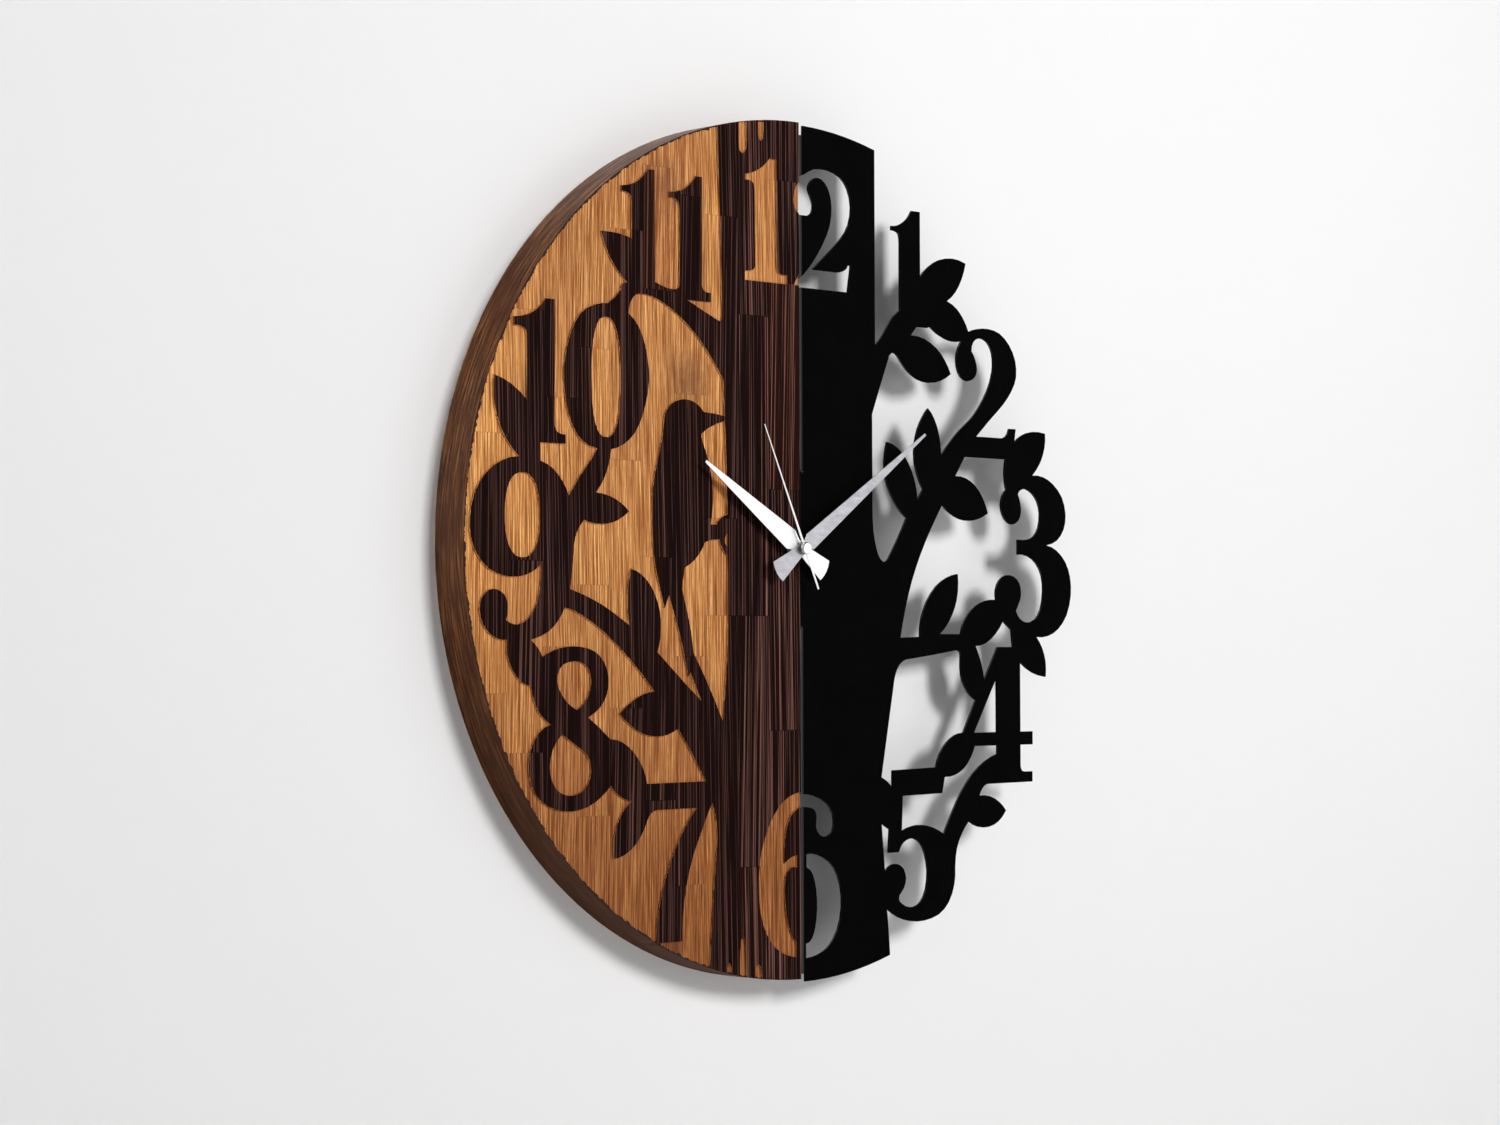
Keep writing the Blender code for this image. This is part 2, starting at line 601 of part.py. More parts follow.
def material(slot, owner):
    """Material of one piece, with the colour and surface of its slot."""
    colour, roughness, metallic = FINISHES[slot]
    made = bpy.data.materials.new(f"{slot}.{owner}")
    made.use_nodes = True
    made.diffuse_color = (*colour, 1.0)
    shader = made.node_tree.nodes["Principled BSDF"]
    shader.inputs["Base Color"].default_value = (*colour, 1.0)
    shader.inputs["Roughness"].default_value = roughness
    shader.inputs["Metallic"].default_value = metallic
    return made


def bare_object(name, bm):
    """Turn a bmesh drawn in millimetres into an object in metres."""
    bmesh.ops.recalc_face_normals(bm, faces=bm.faces)
    mesh = bpy.data.meshes.new(name)
    bm.to_mesh(mesh)
    bm.free()
    mesh.transform(Matrix.Scale(MM, 4))
    obj = bpy.data.objects.new(name, mesh)
    bpy.context.scene.collection.objects.link(obj)
    return obj


def add_object(name, bm, slot):
    """Named piece with a material of its own."""
    obj = bare_object(name, bm)
    obj.data.materials.append(material(slot, name))
    return obj


def shade_round():
    """Smooth shading on every piece, with its real corners kept sharp."""
    for obj in bpy.data.objects:
        obj.data.shade_smooth()
        obj.data.set_sharp_from_angle(angle=SMOOTH_BELOW)


def set_origin(obj, x, y, z):
    """Put the origin of an object on a point given in millimetres."""
    point = Vector((x, y, z)) * MM
    obj.data.transform(Matrix.Translation(-point))
    obj.location = point


def plate(name, outer, holes, y0, y1, slot):
    """Flat plate with holes: outlines in X and Z, thickness from y0 to y1."""
    bm = plate_bmesh(outer, holes, y0, y1)
    return add_object(name, bm, slot)


def inside(point, polygon):
    """Even-odd test of a point against a closed polygon."""
    x, z = point
    hit = False
    for (x0, z0), (x1, z1) in zip(polygon, polygon[1:] + polygon[:1]):
        if (z0 > z) != (z1 > z) and x < x0 + (z - z0) * (x1 - x0) / (z1 - z0):
            hit = not hit
    return hit


def plate_bmesh(outer, holes, y0, y1):
    """Closed mesh of a flat plate with holes."""
    points = []
    edges = []
    loops = [[tuple(p) for p in path] for path in [outer] + list(holes)]
    for path in loops:
        first = len(points)
        count = len(path)
        points += [Vector(p) for p in path]
        edges += [(first + k, first + (k + 1) % count) for k in range(count)]
    verts, _, faces, _, _, _ = delaunay_2d_cdt(points, edges, [], 0, 1e-5)
    kept = []
    for face in faces:
        centre = sum((verts[k] for k in face), Vector((0, 0))) / len(face)
        if sum(inside(centre, path) for path in loops) % 2:
            kept.append(list(face))
    bm = bmesh.new()
    front = [bm.verts.new((v.x, y0, v.y)) for v in verts]
    back = [bm.verts.new((v.x, y1, v.y)) for v in verts]
    used = {}
    for face in kept:
        bm.faces.new([front[k] for k in face])
        bm.faces.new([back[k] for k in reversed(face)])
        for a, b in zip(face, face[1:] + face[:1]):
            used[(a, b)] = True
    for a, b in used:
        if (b, a) not in used:
            bm.faces.new((front[b], front[a], back[a], back[b]))
    loose = [v for v in bm.verts if not v.link_faces]
    bmesh.ops.delete(bm, geom=loose, context="VERTS")
    return bm


def lathe_bmesh(profile, axis="Y", centre=(0.0, 0.0, 0.0), steps=32):
    """Turned solid: the profile is a closed list of (radius, along) corners."""
    bm = bmesh.new()
    rows = []
    for radius, along in profile:
        row = []
        count = 1 if radius < 1e-9 else steps
        for k in range(count):
            a = 2 * math.pi * k / steps
            u = radius * math.cos(a)
            v = radius * math.sin(a)
            local = {"Y": (u, along, v), "X": (along, u, v), "Z": (u, v, along)}[axis]
            row.append(bm.verts.new(Vector(local) + Vector(centre)))
        rows.append(row)
    for upper, lower in zip(rows, rows[1:] + rows[:1]):
        for k in range(steps):
            n = (k + 1) % steps
            if len(upper) == 1 and len(lower) == 1:
                break
            if len(upper) == 1:
                bm.faces.new((upper[0], lower[k], lower[n]))
            elif len(lower) == 1:
                bm.faces.new((upper[k], lower[0], upper[n]))
            else:
                bm.faces.new((upper[k], lower[k], lower[n], upper[n]))
    return bm


def rod(radius, y0, y1, bore=0.0):
    """Profile of a plain rod or tube."""
    if bore:
        return [(bore, y0), (radius, y0), (radius, y1), (bore, y1)]
    return [(0, y0), (radius, y0), (radius, y1), (0, y1)]


def box_bmesh(x0, x1, y0, y1, z0, z1):
    """Plain box."""
    bm = bmesh.new()
    bmesh.ops.create_cube(bm, size=1.0)
    size = Vector((x1 - x0, y1 - y0, z1 - z0))
    middle = Vector((x0 + x1, y0 + y1, z0 + z1)) / 2
    for v in bm.verts:
        v.co = Vector((v.co.x * size.x, v.co.y * size.y, v.co.z * size.z)) + middle
    return bm


def combine(obj, operation, parts):
    """Add or cut solids, each given as a bmesh, and keep the result as the mesh."""
    for bm in parts:
        tool = bare_object("tool", bm)
        modifier = obj.modifiers.new("step", "BOOLEAN")
        modifier.operation = operation
        modifier.solver = "EXACT"
        modifier.object = tool
        bpy.context.view_layer.update()
        graph = bpy.context.evaluated_depsgraph_get()
        result = bpy.data.meshes.new_from_object(obj.evaluated_get(graph))
        obj.modifiers.clear()
        old = obj.data
        obj.data = result
        result.name = obj.name
        bpy.data.meshes.remove(old)
        bpy.data.meshes.remove(tool.data)


def tidy(obj, distance=0.000005):
    """Merge doubled corners and dissolve needless edges on flat faces."""
    bm = bmesh.new()
    bm.from_mesh(obj.data)
    bmesh.ops.remove_doubles(bm, verts=bm.verts, dist=distance)
    bmesh.ops.dissolve_degenerate(bm, edges=bm.edges, dist=distance)
    bmesh.ops.triangulate(bm, faces=bm.faces, ngon_method="EAR_CLIP")
    bm.to_mesh(obj.data)
    bm.free()


def merged(bms):
    """One bmesh holding several separate solids."""
    whole = bmesh.new()
    for bm in bms:
        scratch = bpy.data.meshes.new("scratch")
        bmesh.ops.recalc_face_normals(bm, faces=bm.faces)
        bm.to_mesh(scratch)
        bm.free()
        whole.from_mesh(scratch)
        bpy.data.meshes.remove(scratch)
    return whole


def toothed(teeth, module, phase=0.0, cx=0.0, cz=0.0):
    """Outline of a gear with slim teeth, so that meshing gears run free."""
    pitch = teeth * module / 2
    root = pitch - 1.05 * module
    tip = pitch + 0.5 * module
    step = 2 * math.pi / teeth
    out = []
    for k in range(teeth):
        middle = phase + k * step
        for radius, part in ((tip, -0.14), (tip, 0.14), (root, 0.5)):
            a = middle + part * step
            out.append(np.array((cx + radius * math.cos(a), cz + radius * math.sin(a))))
    return out


# ---------------------------------------------------------- wooden half

def wood_half_disc():
    """Half-round board with the carved figures, the movement pocket and bores."""
    edge = WOOD_EDGE
    half_angle = math.degrees(math.acos(edge / DIAL_RADIUS))
    rim = arc(DIAL_RADIUS, half_angle, 360 - half_angle)
    board = plate("wood_half_disc", shifted(rim, DIAL_X), [], FRONT, 0.0, "stained_pine")
    carving = [plate_bmesh(shifted(shape, DIAL_X), [], FRONT - 2.0, FRONT + RECESS)
               for shape in carved_shapes()]
    combine(board, "DIFFERENCE", [merged(carving)])
    x_edge = edge + DIAL_X
    pocket = plate_bmesh(
        round_rect(-CASE_HALF - 1.0, x_edge + 12, -CASE_HALF - 1.0, CASE_HALF + 1.0, 4.0),
        [], POCKET_FLOOR, 2.0)
    shaft_hole = lathe_bmesh(rod(4.2, FRONT - 2.0, POCKET_FLOOR + 2.0), steps=40)
    combine(board, "DIFFERENCE", [pocket, shaft_hole])
    bores = []
    for z in FLANGE_SCREWS:
        bores.append(lathe_bmesh(rod(1.9, x_edge - 16.5, x_edge + 3), axis="X",
                                 centre=(0, FLANGE_SCREW_Y, z), steps=20))
    combine(board, "DIFFERENCE", [merged(bores)])
    seat = plate_bmesh(round_rect(HANGER_X - 23.5, HANGER_X + 23.5, HANGER_Z - 9.5, HANGER_Z + 9.5, 3),
                       [], -2.0, 2.0)
    well = plate_bmesh(round_rect(HANGER_X - 6.5, HANGER_X + 6.5, HANGER_Z - 7.5, HANGER_Z + 7.5, 3),
                       [], -12.0, 0.5)
    combine(board, "DIFFERENCE", [seat, well])
    pilots = [lathe_bmesh(rod(1.6, -14.5, 1.0), centre=(HANGER_X + dx, 0, HANGER_Z), steps=16)
              for dx in (-HANGER_SCREW_X, HANGER_SCREW_X)]
    combine(board, "DIFFERENCE", [merged(pilots)])
    tidy(board)
    return board


# ------------------------------------------------------------ steel half

FLANGE_SCREWS = (262.0, 110.0, -110.0, -192.0)
FLANGE_SCREW_Y = FRONT + BEND_OUTER + 8.0
HANGER_X = -46.0
HANGER_Z = 228.0
HANGER_SCREW_X = 17.0


def folded(x, y, z):
    """Where a point of the flat pattern lies after the flange is folded back."""
    if x >= BEND_START or abs(z) < FLANGE_GAP + 0.4 * RELIEF:
        return x, y, z
    depth = BEND_OUTER - (y - FRONT)
    angle = min((BEND_START - x) / BEND_LENGTH, 1.0) * math.pi / 2
    beyond = max(0.0, BEND_START - x - BEND_LENGTH)
    new_x = BEND_START - depth * math.sin(angle)
    new_y = FRONT + BEND_OUTER - depth * math.cos(angle) + beyond
    return new_x, new_y, z


def metal_half_panel():
    """Cut and folded sheet: trunk, branches, leaves and figures 12 to 6."""
    flange_x = BEND_START - BEND_LENGTH - (FLANGE_SCREW_Y - FRONT - BEND_OUTER)
    holes = metal_windows()
    holes += [ring(2.0, flange_x, z, 20) for z in FLANGE_SCREWS]
    bm = plate_bmesh(metal_outer(), holes, FRONT, FRONT + SHEET)
    cuts = 5
    for k in range(cuts + 1):
        x = BEND_START - BEND_LENGTH * k / cuts
        geometry = bm.verts[:] + bm.edges[:] + bm.faces[:]
        bmesh.ops.bisect_plane(bm, geom=geometry, dist=1e-5, plane_co=(x, 0, 0), plane_no=(1, 0, 0))
    for v in bm.verts:
        x, y, z = folded(v.co.x, v.co.y, v.co.z)
        v.co = Vector((x + DIAL_X, y, z))
    bmesh.ops.triangulate(bm, faces=bm.faces)
    return add_object("metal_half_panel", bm, "black_steel")


def pan_screw(name, along, head_radius, head_height, radius, length, centre, steps=14):
    """Pan-head wood screw with a cross-shaped recess; 'along' is its axis and way in."""
    profile = [(0, -length), (radius * 0.35, -length + 0.6), (radius, -length + 4.0), (radius, -0.2),
               (head_radius, -0.2), (head_radius, head_height * 0.45),
               (head_radius * 0.72, head_height), (0, head_height)]
    axis, sign = along
    turned = [(r, -sign * a) for r, a in profile]
    obj = add_object(name, lathe_bmesh(turned, axis=axis, centre=centre, steps=steps), "zinc_steel")
    top = -sign * head_height
    low = -sign * (head_height - 1.1)
    a0, a1 = sorted((low, top * 1.5))
    wide = head_radius * 0.55
    thin = 0.35
    arms = []
    for u, v in ((wide, thin), (thin, wide)):
        if axis == "X":
            arms.append(box_bmesh(centre[0] + a0, centre[0] + a1, centre[1] - u, centre[1] + u,
                                  centre[2] - v, centre[2] + v))
        else:
            arms.append(box_bmesh(centre[0] - u, centre[0] + u, centre[1] + a0, centre[1] + a1,
                                  centre[2] - v, centre[2] + v))
    combine(obj, "DIFFERENCE", arms)
    tidy(obj, 0.00001)
    return obj


def flange_screws():
    """Four screws through the flange into the edge of the board."""
    inner_face = BEND_START - BEND_INNER + DIAL_X
    for k, z in enumerate(FLANGE_SCREWS, 1):
        pan_screw(f"flange_screw_{k}", ("X", -1), 3.2, 2.0, 1.6, 16.5,
                  (inner_face + 0.5, FLANGE_SCREW_Y, z))


def hanger():
    """Keyhole plate let into the back of the board, with its two screws."""
    x, z = HANGER_X, HANGER_Z
    keyhole = outline(
        (x - 2.2, z + 4.0),
        [(x - 2.2, z - 0.5)],
        [(x - 3.8, z - 1.9), (x - 4.4, z - 4.0), (x - 3.1, z - 7.1), (x, z - 8.4),
         (x + 3.1, z - 7.1), (x + 4.4, z - 4.0), (x + 3.8, z - 1.9), (x + 2.2, z - 0.5)],
        [(x + 2.2, z + 4.0)],
        [(x + 1.56, z + 5.56), (x, z + 6.2), (x - 1.56, z + 5.56), (x - 2.2, z + 4.0)],
    )
    holes = [keyhole, ring(1.9, x - HANGER_SCREW_X, z, 20), ring(1.9, x + HANGER_SCREW_X, z, 20)]
    plate("hanger_plate", round_rect(x - 22.5, x + 22.5, z - 9.1, z + 9.1, 2.6), holes,
          -1.7, -0.9, "zinc_steel")
    for k, dx in enumerate((-HANGER_SCREW_X, HANGER_SCREW_X), 1):
        pan_screw(f"hanger_screw_{k}", ("Y", -1), 2.6, 0.45, 1.3, 13.0, (x + dx, -0.5, z), steps=12)


# -------------------------------------------------------------- movement

INNER = CASE_HALF - CASE_WALL
INSIDE_FRONT = CASE_FRONT + CASE_WALL


def case_front():
    """Moulded tray with the battery partition and the hole for the bushing."""
    outer = round_rect(-CASE_HALF, CASE_HALF, -CASE_HALF, CASE_HALF, 3.0)
    obj = plate("movement_case_front", outer, [], CASE_FRONT, CASE_BACK - COVER - GAP, "black_plastic")
    chamber = plate_bmesh(round_rect(-INNER, INNER, PARTITION_Z + 0.8, INNER, 2.0), [],
                          INSIDE_FRONT, 1.0)
    bay = plate_bmesh(rect(-INNER, INNER, -INNER, PARTITION_Z), [], INSIDE_FRONT, 1.0)
    hole = lathe_bmesh(rod(3.3, CASE_FRONT - 1, INSIDE_FRONT + 1), steps=32)
    combine(obj, "DIFFERENCE", [chamber, bay, hole])
    tidy(obj)
    return obj


def bushing():
    """Threaded brass tube that carries the hour tube and clamps the movement."""
    end = FRONT - 4.8
    low = CASE_FRONT - 0.3
    profile = [(2.7, end), (3.5, end), (3.95, end + 0.45)]
    y = end + 0.6
    while y < end + 2.4:
        profile += [(3.95, y), (3.62, y + 0.45), (3.95, y + 0.9)]
        y += 1.0
    profile += [(3.95, low), (3.0, low), (3.0, INSIDE_FRONT), (2.7, INSIDE_FRONT)]
    return add_object("threaded_bushing", lathe_bmesh(profile, steps=28), "brass")


def front_hardware():
    """Rubber seal behind the board, washer and hexagon nut in front of it."""
    add_object("rubber_seal", lathe_bmesh(rod(12.0, POCKET_FLOOR + GAP, CASE_FRONT - GAP, 4.25), steps=28),
               "rubber")
    washer = [(4.25, FRONT - 1.1), (5.9, FRONT - 1.1), (6.1, FRONT - 0.9), (6.1, FRONT - GAP),
              (4.25, FRONT - GAP)]
    add_object("flat_washer", lathe_bmesh(washer, steps=28), "zinc_steel")
    across = 5.5 / math.cos(math.pi / 6)
    hexagon = [np.array((across * math.cos(math.pi / 3 * k), across * math.sin(math.pi / 3 * k)))
               for k in range(6)]
    nut = plate("hex_nut", hexagon, [ring(4.25, steps=36)], FRONT - 3.9, FRONT - 1.4, "zinc_steel")
    combine(nut, "INTERSECT", [lathe_bmesh([(0, FRONT - 4.6), (4.9, FRONT - 4.1), (7.6, FRONT - 2.6),
                                            (7.6, FRONT), (0, FRONT)], steps=36)])
    tidy(nut, 0.00001)


def case_back():
    """Cover that closes the wheel chamber and frames the battery."""
    outer = round_rect(-CASE_HALF, CASE_HALF, -CASE_HALF, CASE_HALF, 3.0)
    window = rect(-BATTERY_HALF - 1.6, BATTERY_HALF + 1.6, BATTERY_Z - 7.4, BATTERY_Z + 7.3)
    knob_hole = ring(KNOB_RADIUS + 0.4, MINUTE_X, MINUTE_Z, 32)
    return plate("movement_case_back", outer, [window, knob_hole], CASE_BACK - COVER, CASE_BACK,
                 "black_plastic")


BATTERY_HALF = 24.2
BATTERY_Z = -19.3
BATTERY_Y = -8.6
KNOB_RADIUS = 4.6

MINUTE_DISTANCE = 9.6
MINUTE_X = MINUTE_DISTANCE * math.cos(math.radians(120))
MINUTE_Z = MINUTE_DISTANCE * math.sin(math.radians(120))
THIRD_DISTANCE = 8.5
THIRD_X = THIRD_DISTANCE * math.cos(math.radians(20))
THIRD_Z = THIRD_DISTANCE * math.sin(math.radians(20))
STEP_DISTANCE = 8.75
STEP_X = STEP_DISTANCE * math.cos(math.radians(200))
STEP_Z = STEP_DISTANCE * math.sin(math.radians(200))
ROTOR_DISTANCE = 7.2
ROTOR_X = STEP_X + ROTOR_DISTANCE * math.cos(math.radians(200))
ROTOR_Z = STEP_Z + ROTOR_DISTANCE * math.sin(math.radians(200))
COIL_X = -21.2
COIL_Y = -8.0


def battery():
    """AA cell and its two contacts."""
    h = BATTERY_HALF
    cell = [(0, -h + 0.4), (4.6, -h + 0.4), (4.8, -h), (6.3, -h), (6.9, -h + 0.6), (6.9, h - 2.0),
            (6.3, h - 1.4), (2.9, h - 1.4), (2.7, h), (0, h)]
    obj = add_object("battery_cell", lathe_bmesh(cell, axis="X", centre=(0, BATTERY_Y, BATTERY_Z), steps=28),
                     "battery")
    set_origin(obj, 0, BATTERY_Y, BATTERY_Z)
    positive = outline((INNER - 0.5, BATTERY_Y - 5), [(INNER - 0.2, BATTERY_Y - 5)],
                       [(INNER - 0.2, BATTERY_Y + 5)], [(INNER - 0.5, BATTERY_Y + 5)],
                       [(h + 0.9, BATTERY_Y + 1.6)], [(h + 0.4, BATTERY_Y)], [(h + 0.9, BATTERY_Y - 1.6)])
    strip("contact_positive", positive, BATTERY_Z - 3.2, BATTERY_Z + 3.2, "zinc_steel")
    coil_spring("contact_negative")


def strip(name, path, z0, z1, slot):
    """Prism standing along Z from an outline in X and Y."""
    bm = bmesh.new()
    low = [bm.verts.new((p[0], p[1], z0)) for p in path]
    high = [bm.verts.new((p[0], p[1], z1)) for p in path]
    bm.faces.new(low)
    bm.faces.new(list(reversed(high)))
    count = len(path)
    for k in range(count):
        n = (k + 1) % count
        bm.faces.new((low[n], low[k], high[k], high[n]))
    return add_object(name, bm, slot)


def coil_spring(name):
    """Conical wire spring that presses on the flat end of the cell."""
    turns = 2.5
    start = -INNER + 0.55
    end = -BATTERY_HALF - 0.55
    wire = 0.25
    sides = 5
    steps = 36
    bm = bmesh.new()
    rows = []
    for k in range(steps + 1):
        t = k / steps
        radius = 4.4 - 2.0 * t
        angle = 2 * math.pi * turns * t
        centre = Vector((start + (end - start) * t, radius * math.cos(angle), radius * math.sin(angle)))
        out = Vector((0, math.cos(angle), math.sin(angle)))
        side = Vector((1, 0, 0))
        row = []
        for s in range(sides):
            a = 2 * math.pi * s / sides
            p = centre + (out * math.cos(a) + side * math.sin(a)) * wire
            row.append(bm.verts.new(p + Vector((0, BATTERY_Y, BATTERY_Z))))
        rows.append(row)
    for low, high in zip(rows, rows[1:]):
        for s in range(sides):
            n = (s + 1) % sides
            bm.faces.new((low[s], low[n], high[n], high[s]))
    bm.faces.new(list(reversed(rows[0])))
    bm.faces.new(rows[-1])
    return add_object(name, bm, "zinc_steel")


def wheel_body(name, centre, slot, prisms, turned, steps=16):
    """Wheel, pinion and arbor as one piece; prisms are (outline, bore, y0, y1)."""
    x, z = centre
    obj = None
    for path, bore, y0, y1 in prisms:
        holes = [ring(bore, x, z, steps)] if bore else []
        bm = plate_bmesh(path, holes, y0, y1)
        if obj is None:
            obj = add_object(name, bm, slot)
        else:
            combine(obj, "UNION", [bm])
    for profile in turned:
        combine(obj, "UNION", [lathe_bmesh(profile, centre=(x, 0, z), steps=steps)])
    tidy(obj, 0.000008)
    set_origin(obj, x, 0, z)
    return obj


def mesh_phase(angle_to_next, teeth, phase, next_teeth):
    """Phase of the next gear so that its gap meets a tooth of this one."""
    step = 2 * math.pi / teeth
    offset = ((angle_to_next - phase) / step) % 1.0
    next_step = 2 * math.pi / next_teeth
    facing = angle_to_next + math.pi
    return facing + (offset + 0.5) * next_step


def gear_train():
    """Rotor to seconds, third and centre wheels, then the motion work."""
    rad = math.radians
    # rotor pinion 8 -> step wheel 40, step pinion 6 -> seconds wheel 36,
    # seconds pinion 6 -> third wheel 45, third pinion 6 -> centre wheel 48
    step_module = 2 * ROTOR_DISTANCE / 48
    seconds_module = 2 * STEP_DISTANCE / 42
    third_module = 2 * THIRD_DISTANCE / 51
    centre_module = 2 * THIRD_DISTANCE / 54
    cannon_module = 2 * MINUTE_DISTANCE / 32
    hour_module = 2 * MINUTE_DISTANCE / 30
    to_centre = rad(20)
    phase_rotor = 0.0
    phase_step = mesh_phase(to_centre, 8, phase_rotor, 40)
    phase_seconds = mesh_phase(to_centre, 6, phase_step, 36)
    phase_third = mesh_phase(rad(20), 6, phase_seconds, 45)
    phase_centre = mesh_phase(rad(200), 6, phase_third, 48)
    wheel_body("rotor", (ROTOR_X, ROTOR_Z), "black_plastic",
               [(toothed(8, step_module, phase_rotor, ROTOR_X, ROTOR_Z), 0, -6.9, -5.9)],
               [[(0, -11.9), (0.4, -11.9), (0.4, -11.2), (2.6, -11.2), (2.6, -8.2), (0.7, -8.2),
                 (0.7, -5.6), (0.35, -5.6), (0.35, -4.4), (0, -4.4)]])
    wheel_body("step_wheel", (STEP_X, STEP_Z), "white_plastic",
               [(toothed(40, step_module, phase_step, STEP_X, STEP_Z), 0, -6.7, -6.1),
                (toothed(6, seconds_module, phase_step, STEP_X, STEP_Z), 0, -8.6, -6.5)],
               [[(0, -11.9), (0.4, -11.9), (0.4, -8.9), (0.8, -8.9), (0.8, -5.6), (0.35, -5.6),
                 (0.35, -4.4), (0, -4.4)]])
    wheel_body("seconds_wheel", (0, 0), "white_plastic",
               [(toothed(36, seconds_module, phase_seconds), 0, -8.3, -7.7),
                (toothed(6, third_module, phase_seconds), 0, -10.4, -8.1)],
               [[(0, SECOND_Y - 1.6), (0.6, SECOND_Y - 1.6), (0.6, -10.2), (0.62, -10.2), (0.62, -7.0),
                 (0.45, -7.0), (0.45, -4.4), (0, -4.4)]])
    wheel_body("third_wheel", (THIRD_X, THIRD_Z), "white_plastic",
               [(toothed(45, third_module, phase_third, THIRD_X, THIRD_Z), 0, -10.1, -9.5),
                (toothed(6, centre_module, phase_third, THIRD_X, THIRD_Z), 0, -12.0, -9.7)],
               [[(0, -12.8), (0.3, -12.8), (0.3, -11.8), (0.5, -11.8), (0.5, -9.0), (0.35, -9.0),
                 (0.35, -4.4), (0, -4.4)]])
    # the centre wheel drives the minute arbor through a friction hub
    wheel_body("centre_wheel", (0, 0), "white_plastic",
               [(toothed(48, centre_module, phase_centre), 2.45, -11.9, -11.2)], [])
    phase_cannon = 0.0
    to_minute = rad(120)
    phase_minute = mesh_phase(to_minute, 8, phase_cannon, 24)
    phase_hour = mesh_phase(to_minute + math.pi, 6, phase_minute, 24)
    wheel_body("minute_arbor", (0, 0), "brass",
               [(toothed(8, cannon_module, phase_cannon), 0.9, -14.6, -13.5)],
               [[(0.9, MINUTE_Y - 1.5), (1.5, MINUTE_Y - 1.5), (1.5, -13.7), (1.55, -13.7), (1.55, -12.0),
                 (2.4, -12.0), (2.4, -11.0), (0.9, -11.0)]])
    wheel_body("minute_wheel", (MINUTE_X, MINUTE_Z), "white_plastic",
               [(toothed(24, cannon_module, phase_minute, MINUTE_X, MINUTE_Z), 0, -14.4, -13.7),
                (toothed(6, hour_module, phase_minute, MINUTE_X, MINUTE_Z), 0, -15.8, -14.2)],
               [[(0, -15.9), (0.8, -15.9), (0.8, -2.4), (0, -2.4)]])
    wheel_body("hour_wheel", (0, 0), "white_plastic",
               [(toothed(24, hour_module, phase_hour), 1.8, -15.7, -15.0)],
               [[(1.8, HOUR_Y - 0.6), (2.45, HOUR_Y - 0.6), (2.45, -15.2), (1.8, -15.2)]])
    knob_profile = [(0.0, -2.1), (KNOB_RADIUS, -2.1), (KNOB_RADIUS, -0.3), (KNOB_RADIUS - 0.3, -0.15),
                    (0.0, -0.15)]
    knob = add_object("setting_knob", lathe_bmesh(knob_profile, centre=(MINUTE_X, 0, MINUTE_Z), steps=36),
                      "black_plastic")
    slot = box_bmesh(MINUTE_X - 3.2, MINUTE_X + 3.2, -1.1, 0.5, MINUTE_Z - 0.5, MINUTE_Z + 0.5)
    combine(knob, "DIFFERENCE", [slot])
    tidy(knob, 0.00001)
    set_origin(knob, MINUTE_X, 0, MINUTE_Z)


